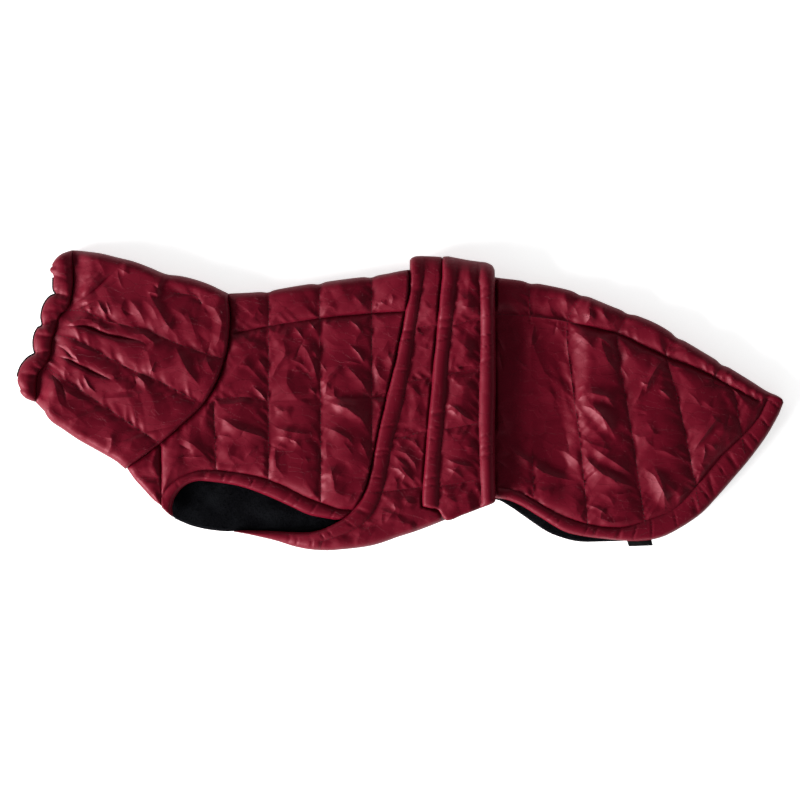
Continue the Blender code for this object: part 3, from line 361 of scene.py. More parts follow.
BODY_CREASES = folds(
    (((-162, 47), (-154, 56), (-145, 65)), 2.6, 1.8),
    (((-170, 17), (-157, 30), (-148, 40), (-138, 47)), 3, 2.4),
    (((-136, 39), (-132, 34), (-128, 28)), 1.6, 1.4),
    (((-142, 14), (-134, 7), (-128, -1)), 1.6, 1.4),
    (((-178, 0), (-165, 3), (-154, 6), (-137, 16)), 4, -4),
    (((-177, -5), (-161, -8), (-144, -4), (-132, 3)), 4, 2.6),
    (((-177, -14), (-167, -17), (-154, -24), (-138, -30), (-125, -36)), 4, -5),
    (((-161, 26), (-154, 32), (-147, 31), (-132, 17)), 2.2, 1.6),
    (((-177, -33), (-167, -32), (-159, -36)), 2.4, -2.2),
    (((-124, 49), (-116, 59), (-108, 71)), 4, 2.6),
    (((-102, 71), (-97, 65), (-92, 58)), 1.6, 1.6),
    (((-88, 76), (-84, 71), (-80, 66)), 1.6, 1.8),
    (((-123, 18), (-115, 30), (-108, 41), (-101, 47)), 3.4, -3),
    (((-98, 55), (-92, 46), (-86, 30), (-80, 17)), 4, 3.6),
    (((-107, 39), (-96, 33), (-88, 26), (-84, 23)), 2.4, 2.0),
    (((-106, 32), (-102, 19), (-94, 7), (-83, -4)), 8, -3.6),
    (((-84, 48), (-81, 44), (-79, 39)), 1.6, 1.4),
    (((-87, 12), (-83, 8), (-79, 4)), 1.6, 1.8),
    (((-121, -4), (-112, -8), (-101, -6)), 3, -3),
    (((-122, -24), (-111, -26), (-98, -28), (-84, -32)), 3.6, -3.6),
    (((-121, -36), (-111, -39), (-102, -43), (-94, -48)), 4, 3.4),
    (((-111, -39), (-115, -48), (-113, -62), (-108, -75)), 6, -4.5),
    (((-49, 77), (-42, 72), (-36, 64)), 1.8, 2.0),
    (((-49, 54), (-40, 45), (-33, 34)), 1.8, 2.0),
    (((-74, 18), (-66, 25), (-55, 36)), 2.6, 2.4),
    (((-71, 3), (-67, 15), (-60, 26)), 3.4, -3.2),
    (((-55, 35), (-48, 24), (-40, 15), (-30, 3)), 4, 3.0),
    (((-63, 16), (-60, 6), (-50, 0), (-39, -5)), 4, -4.2),
    (((-74, -1), (-63, -8), (-52, -12), (-40, -20), (-32, -30)), 4.5, 4.6),
    (((-69, 1), (-58, -2), (-46, -8), (-35, -20)), 3, -2.6),
    (((-75, -24), (-61, -27), (-48, -35), (-42, -45)), 3, -2.8),
    (((-58, -60), (-60, -72), (-56, -85), (-48, -93)), 7, -4),
    (((-40, -39), (-37, -48), (-31, -58)), 3, 2.2),
    (((-23, 44), (-17, 51), (-11, 59)), 2.2, 1.6),
    (((-19, 46), (-21, 36), (-16, 25), (-10, 16)), 4.5, -3.8),
    (((-12, 51), (-15, 42), (-10, 32), (-3, 28)), 4, 2.8),
    (((-27, 2), (-19, 3), (-12, 9)), 3, -3.2),
    (((-25, -8), (-17, -4), (-10, -4)), 2.6, 2.0),
    (((-214, -36), (-202, -46), (-190, -56), (-180, -64)), 5, 3.4),
    (((-227, -68), (-219, -58), (-209, -50)), 3, 1.6),
    (((-161, 96), (-148, 84), (-136, 74)), 3, 1.6),
    (((-151, 71), (-142, 80), (-135, 92)), 2.2, 1.6),
    (((-52, 85), (-46, 84), (-38, 87)), 2, 1.6),
    (((-46, 101), (-42, 94), (-35, 88)), 3, 1.8),
    (((-17, 98), (-21, 93), (-12, 89)), 2.6, 2.4),
    (((-8, 103), (-4, 97), (-8, 90)), 2.6, -2.2),
    (((-123, -48), (-115, -46), (-108, -48)), 2.4, 1.6),
    (((-173, -60), (-161, -56), (-148, -61)), 3, 1.6),
    (((-157, -39), (-161, -50), (-156, -64)), 4, -1.8),
    (((-71, -35), (-75, -45), (-71, -58)), 4, 1.8),
    (((150, 103), (155, 95), (160, 84)), 4, 3.4),
    (((142, 99), (148, 88), (150, 78)), 4, -2.4),
    (((176, 72), (179, 79), (181, 86)), 2.4, 2.4),
    (((186, 97), (189, 88), (194, 78), (202, 72)), 3, 3.2),
    (((182, 96), (184, 84), (188, 76)), 3, -2.8),
    (((164, 66), (171, 59), (179, 51), (187, 45)), 4, 2.8),
    (((193, 67), (198, 55), (204, 40), (211, 25)), 6, -4.6),
    (((188, 61), (196, 57), (204, 49)), 1.8, 1.6),
    (((203, 48), (205, 42), (209, 36)), 1.6, 1.8),
    (((169, -1), (171, 4), (176, 11)), 2.4, 2.2),
    (((173, 2), (184, 3), (196, 0), (207, -11)), 3.4, 3.6),
    (((172, 7), (184, 10), (198, 7), (208, -2)), 3.4, -2.4),
    (((172, -6), (180, -10), (190, -20), (200, -36)), 5, 4.4),
    (((182, -2), (194, -10), (204, -24), (209, -39)), 4, -3.4),
    (((173, -35), (184, -39), (198, -44), (205, -50)), 3.4, -2.6),
    (((175, -48), (184, -58), (196, -67), (214, -77), (228, -83)), 4.5, -6.5),
    (((179, -43), (192, -56), (207, -66), (225, -75)), 4.5, 4.6),
    (((221, -8), (226, 3), (233, 16)), 2.4, 2.6),
    (((235, 3), (241, 17), (247, 28), (253, 39)), 3.2, -3.6),
    (((230, 18), (235, 15), (240, 16)), 2, 2.0),
    (((219, -29), (230, -33), (242, -29), (253, -33)), 3, -2.4),
    (((240, -48), (252, -51), (267, -57)), 2.2, 1.8),
    (((247, 11), (253, 7), (260, 0)), 1.8, 2.2),
    (((230, -64), (240, -75), (248, -91), (253, -110)), 5, 4.4),
    (((242, -60), (252, -73), (257, -91), (261, -104)), 4, -3),
    (((264, -96), (270, -91), (278, -86)), 2.6, 2.0),
    (((279, -54), (288, -42), (299, -27), (308, -14)), 2.4, -3.6),
    (((293, -42), (298, -46), (303, -49)), 2.2, 1.8),
    (((286, -60), (291, -72), (298, -79)), 3.4, 2.4),
    (((300, -29), (309, -33), (319, -27)), 3, 1.6),
    (((322, 11), (330, 5), (339, 1)), 2, 1.6),
    (((300, 11), (303, 23), (307, 30)), 3, -2.6),
    (((97, -35), (112, -48), (128, -57), (140, -66), (153, -71), (177, -78)), 4.5, -4.6),
    (((142, -47), (156, -54), (167, -62), (175, -72)), 5, 3.4),
    (((129, -83), (138, -84), (150, -82)), 3, -1.8),
    (((189, -89), (198, -95), (205, -103)), 3, 1.8),
    (((188, -111), (204, -115), (221, -113)), 3, -1.8),
    (((288, 0), (294, -8), (301, -10)), 3, 1.6),
    (((253, -77), (261, -81), (267, -89)), 3, -2),
    (((124, 74), (136, 52), (145, 31), (160, 9)), 8, -2.6),
    (((125, 17), (140, 2), (157, -19)), 7, 2.2),
    (((97, -8), (104, -20), (108, -38)), 5, -3.5),
    (((133, 74), (147, 66), (160, 54)), 5, 2.0),
    (((198, -68), (188, -75), (182, -87)), 3, 1.6),
)
WING_CREASES = folds(
    (((-7, -48), (4, -53), (12, -62), (16, -71)), 2.6, 2.6),
    (((-6, -52), (4, -59), (11, -68)), 2.4, -2.8),
    (((-11, -65), (-3, -68), (2, -73), (0, -82)), 2.6, 2.8),
    (((-6, -72), (0, -79), (-3, -91)), 2.6, -2.4),
    (((-16, -119), (-12, -110), (-7, -104), (-8, -96)), 3, 2.8),
    (((-1, -24), (8, -20), (13, -8), (19, -1)), 3, 2.4),
    (((4, -30), (12, -27), (19, -29)), 2.4, -2),
    (((-2, -36), (10, -41), (19, -47)), 2.2, 1.6),
    (((12, 13), (19, 7), (27, 9)), 2.6, -1.8),
    (((17, 52), (25, 46), (31, 48)), 2.6, 1.6),
    (((23, 96), (29, 90), (36, 92)), 2.6, -1.6),
    (((-46, -135), (-33, -125), (-23, -114)), 3.4, 2.0),
    (((0, -96), (10, -102), (19, -99)), 3, 1.8),
    (((-4, -108), (6, -116), (19, -120)), 3.4, -2),
    (((23, -120), (35, -116), (42, -118)), 3, 1.4),
)
BELT_CREASES = folds(
    (((44, -1), (54, -6), (63, -14), (74, -21)), 2.6, -3),
    (((43, -11), (49, -12), (55, -16)), 2.4, 2.2),
    (((42, -54), (50, -57), (57, -59), (65, -61), (74, -64)), 2.6, -3),
    (((42, -64), (51, -70), (61, -76)), 2.2, 2.0),
    (((61, -43), (68, -43), (75, -44)), 2.4, -2),
    (((54, 57), (61, 48), (69, 42)), 3, 1.8),
    (((56, 105), (63, 99), (73, 102)), 3, -1.6),
    (((50, 15), (60, 11), (71, 15)), 2.6, 1.6),
    (((40, -89), (54, -95), (69, -92)), 2.8, -1.8),
    (((58, 90), (65, 86), (73, 88)), 2.4, 1.6),
    (((48, -33), (58, -36), (67, -31)), 2.4, 1.8),
)
CHEST_CREASES = folds(
    (((-249, -75), (-240, -76), (-232, -75)), 3, -2.4),
    (((-240, -60), (-236, -70), (-238, -84)), 4, 1.8),
)
MOUTH_PINCHES = folds(
    (((-316, 100), (-324, 101), (-333, 103)), 4, -4.5, 1),
    (((-324, 79), (-334, 75), (-345, 71)), 4, -4.5, 1),
    (((-332, 46), (-342, 46), (-353, 45)), 4, -4.5, 1),
    (((-328, 88), (-336, 86), (-343, 84)), 2.2, -1.8, 1),
    (((-335, 60), (-344, 62), (-352, 63)), 2.2, -1.8, 1),
    (((-345, 24), (-356, 25), (-368, 25)), 3, -2.0, 1),
    (((-318, 116), (-326, 118), (-333, 121)), 2.4, -1.6, 1),
)
LINING_CREASES = folds(
    (((-205, -112), (-150, -106), (-110, -112), (-80, -118)), 5, 1.2),
    (((-190, -92), (-165, -98), (-140, -92)), 5, -1.0),
    (((-130, -100), (-112, -112), (-96, -118)), 4, 1.0),
)

# quilting of the pieces that lie on the ground
QUILT_BELLY = (
    ((-176, -125), (-176, -66)), ((-126, -133), (-126, -65)), ((-76, -140), (-76, -65)),
    ((-26, -136), (-26, -65)), ((24, -118), (24, -65)), ((74, -102), (74, -65)),
)
QUILT_FAR_WING = (
    ((66, -63), (66, 20), (66, 118)), ((-36, -50), (90, -46)), ((12, 4), (90, 6)), ((31, 56), (90, 58)),
    ((39, 100), (90, 102)),
)


# --- curves and areas in the plan
def smooth(rows: Rows | Array, step: float) -> Array:
    """A round curve through the rows, cut into equal lengths.

    Args:
        rows: The points that the curve passes through.
        step: The wanted length of one cut, in millimetres.

    Returns:
        The points of the curve, one per row.
    """
    knots = np.array(rows, float)
    knots = np.vstack([2 * knots[0] - knots[1], knots, 2 * knots[-1] - knots[-2]])
    fine = []
    for a, b, c, d in zip(knots, knots[1:], knots[2:], knots[3:]):
        for t in np.arange(ROUND_CUTS) / ROUND_CUTS:
            bend = (2 * a - 5 * b + 4 * c - d) * t**2 + (3 * b - a - 3 * c + d) * t**3
            fine.append(b + 0.5 * ((c - a) * t + bend))
    return evenly(np.array(fine + [knots[-2]]), step)


def smooth_all(lines: Sequence[Rows], step: float) -> list[Array]:
    """A round curve through each line's rows."""
    return [smooth(line, step) for line in lines]


def evenly(line: Array, step: float) -> Array:
    """The same line, cut into equal lengths of about one step."""
    along = length_along(line)
    places = np.linspace(0, along[-1], max(1, round(along[-1] / step)) + 1)
    return np.column_stack([np.interp(places, along, line[:, axis]) for axis in (0, 1)])


def length_along(line: Array) -> Array:
    """Distance travelled at each point of a line."""
    return np.concatenate([[0], np.cumsum(np.linalg.norm(np.diff(line, axis=0), axis=1))])


def normals(line: Array) -> Array:
    """Unit normals on the right-hand side of the direction of travel."""
    tangent = np.gradient(line, axis=0)
    tangent /= np.linalg.norm(tangent, axis=1)[:, None]
    return np.column_stack([tangent[:, 1], -tangent[:, 0]])


def moved(line: Array, distance: float | Array) -> Array:
    """The line moved sideways to its right, by one distance or by one for each of its points."""
    return line + normals(line) * np.reshape(distance, (-1, 1))


def drawn_to(line: Array, first: Array, last: Array, blend: float = 9.0) -> Array:
    """The line with its ends drawn to two given places, and eased back within the blend."""
    along = length_along(line)
    from_first, from_last = (1 - np.clip(away / blend, 0, 1) for away in (along, along[-1] - along))
    return line + from_first[:, None] * (first - line[0]) + from_last[:, None] * (last - line[-1])


class Nearest(NamedTuple):
    """Where points lie against a set of lines."""

    away: Array  # distance from the nearest line
    along: Array  # distance travelled on that line
    side: Array  # 1 right of its direction of travel, -1 left
    share: Array  # share of that line's length


def nearest(points: Array, lines: Lines) -> Nearest:
    """Finds the nearest place on any of several lines of straight steps.

    Args:
        points: The places to look from.
        lines: The lines, each with two rows or more.

    Returns:
        The distance, the place along the line and the side, for each point.
    """
    away = np.full(len(points), np.inf)
    along, side, share = np.zeros(len(points)), np.ones(len(points)), np.zeros(len(points))
    offset = 0.0
    for line in lines:
        travelled = length_along(line)
        for start, a, b in zip(travelled, line, line[1:]):
            step = b - a
            rel = points - a
            part = np.clip(rel @ step / max(step @ step, 1e-9), 0, 1)
            gap = rel - part[:, None] * step
            distance = np.hypot(gap[:, 0], gap[:, 1])
            closer = distance < away
            away[closer] = distance[closer]
            place = start + part[closer] * math.hypot(*step)
            along[closer] = offset + place
            share[closer] = place / max(travelled[-1], 1e-9)
            side[closer] = np.sign(rel[closer, 0] * step[1] - rel[closer, 1] * step[0])
        offset += NEXT_LINE
    return Nearest(away, along, side, share)


def distance_to(points: Array, line: Array) -> Array:
    """Distance of each point from a line of straight steps."""
    return nearest(points, (line,)).away


def inside(points: Array, outline: Array) -> Array:
    """Whether each point lies within a closed outline."""
    result = np.zeros(len(points), bool)
    x, y = points.T
    for a, b in zip(outline, np.roll(outline, -1, axis=0)):
        crosses = (a[1] > y) != (b[1] > y)
        rise = b[1] - a[1] if b[1] != a[1] else 1e-12
        result ^= crosses & (x < (b[0] - a[0]) * (y - a[1]) / rise + a[0])
    return result


def ease(low: float, high: float, value: Array) -> Array:
    """0 below low, 1 above high, and a soft slope between them."""
    t = np.clip((value - low) / (high - low), 0, 1)
    return t * t * (3 - 2 * t)


def taper(line: Array, start: float, end: float, length: float) -> Array:
    """A share for each point: start and end at the line's ends, and 1 beyond the length from them."""
    along = length_along(line)
    from_start, from_end = ease(0, length, along), ease(0, length, along[-1] - along)
    return (start + (1 - start) * from_start) * (end + (1 - end) * from_end)


def footprint(points: Array, outline: Array, margin: float, ramp: float) -> Array:
    """1 over an outline and its margin, falling to 0 over the ramp around it."""
    away = np.where(inside(points, outline), 0, distance_to(points, np.vstack([outline, outline[:1]])))
    return 1 - ease(margin, margin + ramp, away)


def fill_of(outline: Array, spacing: float, lines: Lines) -> tuple[Array, int]:
    """Points that fill an outline: the given lines, and a hexagonal grid between them.

    Args:
        outline: The closed outline, without its first point repeated.
        spacing: The distance between points.
        lines: Sharp lines, cut to the spacing: their points become points of the area.

    Returns:
        The points inside, none of them close to the outline or to another, and how many lie on lines.
    """
    closed = np.vstack([outline, outline[:1]])
    kept = np.zeros((0, 2))
    for line in lines:
        places = line[inside(line, outline)]
        places = places[distance_to(places, closed) > CLEAR_SHARE * spacing]
        for place in places:
            if not len(kept) or np.abs(kept - place).max(axis=1).min() > APART_SHARE * spacing:
                kept = np.vstack([kept, place])
    low, high = outline.min(axis=0), outline.max(axis=0)
    rise = spacing * math.sqrt(0.75)
    columns = np.arange(int((high[0] - low[0]) / spacing) + 1)
    rows = np.arange(int((high[1] - low[1]) / rise) + 1)
    i, j = (part.ravel() for part in np.meshgrid(columns, rows))
    grid = np.column_stack([low[0] + (i + 0.5 * (j % 2)) * spacing, low[1] + j * rise])
    grid = grid[inside(grid, outline)]
    grid = grid[distance_to(grid, closed) > CLEAR_SHARE * spacing]
    if lines:
        grid = grid[nearest(grid, lines).away > CLEAR_SHARE * spacing]
    return np.vstack([kept, grid]), len(kept)


class Grain:
    """Smooth, seeded noise in the plan, from -1 to 1."""

    def __init__(self, seed: int) -> None:
        """Draws the lattice of random values from the seed."""
        self.lattice = np.random.default_rng(seed).uniform(-1, 1, (GRAIN_CELLS, GRAIN_CELLS))

    def at(self, u: Array, v: Array) -> Array:
        """The noise at a place given in lattice cells."""
        i, j = np.floor(u).astype(int), np.floor(v).astype(int)
        s, t = u - i, v - j
        s, t = s * s * (3 - 2 * s), t * t * (3 - 2 * t)
        rows, columns = ([k % GRAIN_CELLS, (k + 1) % GRAIN_CELLS] for k in (i, j))
        corner = [[self.lattice[row, column] for column in columns] for row in rows]
        low = corner[0][0] * (1 - t) + corner[0][1] * t
        high = corner[1][0] * (1 - t) + corner[1][1] * t
        return low * (1 - s) + high * s

    def creased(self, u: Array, v: Array) -> Array:
        """Noise from -1 to 1 with sharp ridges between smooth hollows."""
        return 1 - 4 * np.abs(self.at(u, v))

    def crumpled(self, points: Array) -> Array:
        """Flat facets with sharp creases between them, as in crumpled cloth; places in mm."""
        x, y = points.T
        total = np.zeros(len(points))
        for turn, length, height in CRUMPLES:
            along = (x * math.cos(turn) + y * math.sin(turn)) / length
            bend = self.at(x / CRUMPLE_BEND_SIZE + length, y / CRUMPLE_BEND_SIZE)
            along += CRUMPLE_BEND * bend
            patch = ease(*CRUMPLE_SHOWS, self.at(x / CRUMPLE_PATCH + 5, y / CRUMPLE_PATCH + length))
            total += height * patch * (np.abs(2 * (along % 1) - 1) - 0.5)
        return total


def fold_shape(crease: Crease) -> tuple[Array, float, float]:
    """A fold's line, the side of it that its crest is on, and the share by which it is a plain ridge."""
    line = np.array(crease.rows, float) if crease.pinch == 0 else smooth(crease.rows, FOLD_CUT)
    dx, dy = line[-1] - line[0]
    facing = (dy * FOLD_WAY[0] - dx * FOLD_WAY[1]) / math.hypot(dx, dy)
    pinch = 1 if crease.width < THIN_FOLD else max(crease.pinch, 1 - abs(facing) / FACING_LEAST)
    return line, math.copysign(1, facing * crease.height), pinch


def fold_width(crease: Crease, share: Array) -> tuple[Array, Array]:
    """A fold's width, and how far it has faded, at shares of its length."""
    fade = ease(0, FOLD_FADE, share) * ease(0, FOLD_FADE, 1 - share)
    return crease.width * (FOLD_POINT + (1 - FOLD_POINT) * fade), fade


def crease_relief(points: Array, creases: Sequence[Crease]) -> Array:
    """The height that folds add: a slope up to a sharp crest, and a longer one down behind it."""
    total = np.zeros(len(points))
    for crease in creases:
        line, crest_side, pinch = fold_shape(crease)
        reach = FOLD_BACK * crease.width
        near = np.all((points > line.min(axis=0) - reach) & (points < line.max(axis=0) + reach), axis=1)
        if not near.any():
            continue
        place = nearest(points[near], (line,))
        width, fade = fold_width(crease, place.share)
        across = place.away / width
        toward = across * place.side * crest_side
        front = np.clip((toward + 1) / 2, 0, 1) ** FOLD_CURVE
        back = np.clip(1 - (toward - 1) / (FOLD_BACK - 1), 0, 1) ** 2
        slope = FOLD_SHARE * abs(crease.height) * np.where(toward < 1, front, back)
        ridge = RIDGE_SHARE * crease.height * np.exp(-across)
        total[near] += (slope * (1 - pinch) + ridge * pinch) * fade
    return total


def small_creases(low: Pair, high: Pair, spacing: float, seed: int) -> tuple[Crease, ...]:
    """Short slight folds scattered over a rectangle, most of them slanting down to the right.

    Args:
        low: The rectangle's lower left corner.
        high: Its upper right corner.
        spacing: The mean distance between two folds.
        seed: The seed that places them.

    Returns:
        The folds.
    """
    draw = np.random.default_rng(seed)
    count = round((high[0] - low[0]) * (high[1] - low[1]) / spacing**2)
    result = []
    for x, y in draw.uniform(low, high, (count, 2)):
        turn = draw.normal(*(SMALL_FALLING if draw.random() < FALLING_SHARE else SMALL_RISING))
        half, bow = draw.uniform(*SMALL_LENGTH) / 2, draw.uniform(-SMALL_BOW, SMALL_BOW)
        way = np.array([math.cos(turn), math.sin(turn)])
        middle = (x - bow * way[1], y + bow * way[0])
        rows = (tuple((x, y) - half * way), middle, tuple((x, y) + half * way))
        width = draw.uniform(*SMALL_WIDTH)
        height = draw.choice((-1, 1)) * draw.uniform(*SMALL_HEIGHT)
        result.append(Crease(rows, width, height))
    return tuple(result)


def fold_lines(creases: Sequence[Crease]) -> list[Array]:
    """The lines along which folds are sharp: their crests."""
    result = []
    for crease in creases:
        line, crest_side, pinch = fold_shape(crease)
        width, _ = fold_width(crease, length_along(line) / length_along(line)[-1])
        result.append(moved(line, width * crest_side * (pinch < 0.5)))
    return result


class Channel(NamedTuple):
    """An edge that is turned and topstitched, so that it lies as a round roll."""

    edge: Array
    stitches: Array
    height: float


@dataclass
class Relief:
    """Relief of one padded, quilted skin over its stitched-down cloth."""

    stitching: list[Array]
    puff: float  # full height of the padding
    creases: Sequence[Crease] = ()
    channels: list[Channel] = field(default_factory=list)
    firm: list[Array] = field(default_factory=list)  # lines that pull the padding down fully
    pull: float = 1.0  # share of the padding's height by which other quilting pulls it down
    slack: list[Array] = field(default_factory=list)  # lines that hardly pull it down
    seed: int = 1

    def padding(self, points: Array, off_line: Array) -> Array:
        """The share of its full height that the padding has, at points a given way off the stitching."""
        full = (1 - STEEP_SHARE) * np.sin(math.pi / 2 * np.clip(off_line / QUILT_REACH, 0, 1))
        full += STEEP_SHARE * (1 - np.exp(-off_line / QUILT_RISE))
        held = np.full(len(points), self.pull)
        firm = self.firm + [channel.stitches for channel in self.channels]
        if firm:
            held += (1 - self.pull) * np.exp(-nearest(points, firm).away / SEAM_REACH)
        full = 1 - held * (1 - full)
        if self.slack:
            full = full * (1 - SLACK_PULL * np.exp(-nearest(points, self.slack).away / SLACK_REACH))
        return full

    def at(self, points: Array, flat: Array | float = 0.0, sag: Array | float = 0.0) -> Array:
        """The height over the stitched-down cloth.

        Args:
            points: Places in the plan.
            flat: Share by which each place is pressed flat.
            sag: Share of the padding's height that is missing at each place.

        Returns:
            One height for each place.
        """
        grain = Grain(self.seed)
        x, y = points.T
        quilt = nearest(points, self.stitching)
        full = self.padding(points, quilt.away)
        slanted = quilt.along / PUCKER_PITCH + quilt.away / PUCKER_LEAN + quilt.side * PUCKER_SIDES[0]
        pleats = grain.creased(slanted, quilt.away / PUCKER_RUN + quilt.side * PUCKER_SIDES[1])
        swelling = grain.at(x / SWELL_SIZE[0] + SWELL_SHIFT[0], y / SWELL_SIZE[1] + SWELL_SHIFT[1])
        folded = FOLD_AT_LINE + (1 - FOLD_AT_LINE) * ease(0, FOLD_START, quilt.away)
        relief = self.puff * (1 - sag) * full
        relief += SWELL * swelling * full
        relief += PUCKER * pleats * np.exp(-quilt.away / PUCKER_REACH) * ease(0, PUCKER_START, quilt.away)
        relief += grain.crumpled(points) * ease(0, CRUMPLE_START, quilt.away)
        relief += crease_relief(points, self.creases) * folded
        relief = np.maximum(relief, LEAST_RISE) * (1 - flat)
        for channel in self.channels:
            share, rolled = self.rolled(points, channel, grain)
            relief = relief * (1 - share) + rolled * (1 - flat) * share
        return relief

    def rolled(self, points: Array, channel: Channel, grain: Grain) -> tuple[Array, Array]:
        """Where a channel lies, and the height of its ruched roll."""
        edge, stitch = nearest(points, [channel.edge]), nearest(points, [channel.stitches])
        outer = nearest(channel.edge[len(channel.edge) // 2][None], [channel.stitches]).side[0]
        beyond = ease(-ROLL_EDGE, ROLL_EDGE, -stitch.away * stitch.side * outer)
        share = (1 - beyond) * (edge.away < CHANNEL_MOST)
        across = np.sin(math.pi * edge.away / (edge.away + stitch.away + 0.01))
        slant = (edge.along + RUCHE_LEAN * edge.away) / RUCHE_PITCH
        pattern = grain.at(slant, edge.away / RUCHE_RUN + RUCHE_SHIFT)
        ruches = np.maximum(1 - np.abs(pattern) * RUCHE_SHARP, 0)
        return share, channel.height * across**ROLL_SHAPE - RUCHE_DEPTH * ruches**2 * across**RUCHE_SHAPE


def soft_edge(points: Array, edges: Lines) -> Array:
    """How far the outer skin drops where it rounds into a cut edge."""
    t = 1 - np.clip(nearest(points, edges).away / EDGE_SOFTNESS, 0, 1)
    return EDGE_DROP * (1 - np.sqrt(np.maximum(1 - t**2, 0)))


# --- cloth walls
class Skin(Enum):
    """The two faces of a cloth wall, by their material index."""

    OUTER = 0
    INNER = 1


class Run(NamedTuple):
    """One stretch of an area's outline, with its points in both skins."""

    plan: Array
    outer: Array
    inner: Array


class ClothWall:
    """One closed solid of cloth, put together from flat-lying areas, turns and rims."""

    def __init__(self) -> None:
        """Starts an empty wall."""
        self.points: list[tuple[float, float, float]] = []
        self.faces: list[tuple[int, int, int]] = []
        self.skins: list[int] = []
        self.stitched: set[int] = set()  # points on stitch lines

    def add(self, plan: Array, height: Array | float) -> Array:
        """Adds points at the given heights and returns their indices."""
        first = len(self.points)
        heights = np.broadcast_to(height, len(plan))
        self.points.extend((float(x), float(y), float(z)) for (x, y), z in zip(plan, heights))
        return np.arange(first, len(self.points))

    def cover(self, faces: Sequence[tuple[int, int, int]], skin: Skin) -> None:
        """Adds faces of one skin."""
        self.faces.extend(faces)
        self.skins.extend([skin.value] * len(faces))

    def skin_area(
        self, outline: Array, height: Height, spacing: float, lines: Sequence[Rows], skin: Skin
    ) -> Array:
        """Adds one skin of an area.

        Args:
            outline: The closed outline, without its first point repeated.
            height: The skin's height at places in the plan.
            spacing: The size of its facets.
            lines: Stitch lines that get points of their own.
            skin: Which skin it is.

        Returns:
            The indices of the outline's points.
        """
        filling, on_lines = fill_of(outline, spacing, lines)
        plan = np.vstack([outline, filling])
        made = delaunay_2d_cdt([Vector(place) for place in plan], [], [list(range(len(outline)))], 1, 1e-6)
        index = self.add(plan, height(plan))
        self.stitched.update(int(index[k]) for k in range(len(outline), len(outline) + on_lines))
        source = [names[0] for names in made[3]]
        self.cover([tuple(int(index[source[corner]]) for corner in corners) for corners in made[2]], skin)
        return index[: len(outline)]

    def area(
        self, runs: Lines, outer: Height, inner: Height, spacing: float,
        lines: Sequence[Rows] = (), crests: Lines = (),
    ) -> list[Run]:
        """Adds both skins of the area within the runs, which join end to end, clockwise from above.

        Args:
            runs: The stretches of the outline.
            outer: The outer skin's height at places in the plan.
            inner: The inner skin's height.
            spacing: The size of the outer skin's facets.
            lines: Stitch lines that get points of their own in the outer skin.
            crests: Crests of folds that do too.

        Returns:
            Each stretch with its points in both skins.
        """
        outline = np.vstack([run[:-1] for run in runs])
        sharp = smooth_all(lines, spacing) + [evenly(line, spacing) for line in crests]
        upper = self.skin_area(outline, outer, spacing, sharp, Skin.OUTER)
        lower = self.skin_area(outline, inner, INNER_STEP, (), Skin.INNER)
        result = []
        start = 0
        for run in runs:
            steps = (start + np.arange(len(run))) % len(outline)
            result.append(Run(outline[steps], upper[steps], lower[steps]))
            start += len(run) - 1
        return result

    def flat(self, outline: Array, low: Height, high: Height, spacing: float, rim: Skin) -> None:
        """Adds the area within one outline, clockwise from above, and closes it all round.

        Args:
            outline: The closed outline, without its first point repeated.
            low: The height of the inner skin.
            high: The height of the outer skin.
            spacing: The size of the outer skin's facets.
            rim: The skin whose cloth goes round the edge.
        """
        closed = np.vstack([outline, outline[:1]])
        half = len(closed) // 2
        self.rims(self.area((closed[: half + 1], closed[half:]), high, low, spacing), rim)

    def strip(self, first: Sequence[int], second: Sequence[int], skin: Skin) -> None:
        """Joins two rows of points with triangles."""
        faces = []
        for a, b, c, d in zip(first, first[1:], second[1:], second):
            faces += [(a, b, c), (a, c, d)]
        self.cover([tuple(map(int, face)) for face in faces], skin)

    def rims(self, runs: Sequence[Run], skin: Skin = Skin.OUTER) -> None:
        """Closes the wall along cut edges, with the cloth of one skin."""
        for run in runs:
            self.strip(run.outer, run.inner, skin)

    def heights(self, index: Sequence[int]) -> Array:
        """The heights of the given points."""
        return np.array([self.points[k][2] for k in index])

    def turn(
        self, upper: Run, lower: Run | None, outward: Array, reach: Array | float,
        inner_reach: Array | None = None,
    ) -> None:
        """Folds the cloth back under itself, from the upper run to the lower one or to a cut edge.

        Args:
            upper: The stretch where the turn starts.
            lower: The stretch where it ends, or None where it ends free on the ground.
            outward: Unit directions in which the turn bulges.
            reach: How far the outer skin bulges.
            inner_reach: How far the inner skin bulges.
        """
        reach = np.broadcast_to(reach, len(upper.plan))
        inner_reach = reach * INNER_TURN if inner_reach is None else inner_reach
        outer_end, inner_end = (None, None) if lower is None else (lower.outer, lower.inner)
        layers = []
        for skin, top, bottom, bulge, free in (
            (Skin.OUTER, upper.outer, outer_end, reach, 0.0),
            (Skin.INNER, upper.inner, inner_end, inner_reach, THIN_WALL),
        ):
            high = self.heights(top)
            low = np.full(len(top), free) if bottom is None else self.heights(bottom)
            rows = [top]
            for step in range(1, TURN_STEPS + (bottom is None)):
                angle = math.pi * (0.5 - step / TURN_STEPS)
                place = upper.plan + outward * (bulge * math.cos(angle))[:, None]
                rows.append(self.add(place, (high + low) / 2 + (high - low) / 2 * math.sin(angle)))
            if bottom is not None:
                rows.append(bottom)
            for one, other in zip(rows, rows[1:]):
                self.strip(one, other, skin)
            layers.append(rows)
        outer_rows, inner_rows = layers
        for end in (0, -1):
            self.strip([row[end] for row in outer_rows], [row[end] for row in inner_rows], Skin.OUTER)
        if lower is None:
            self.strip(outer_rows[-1], inner_rows[-1], Skin.INNER)

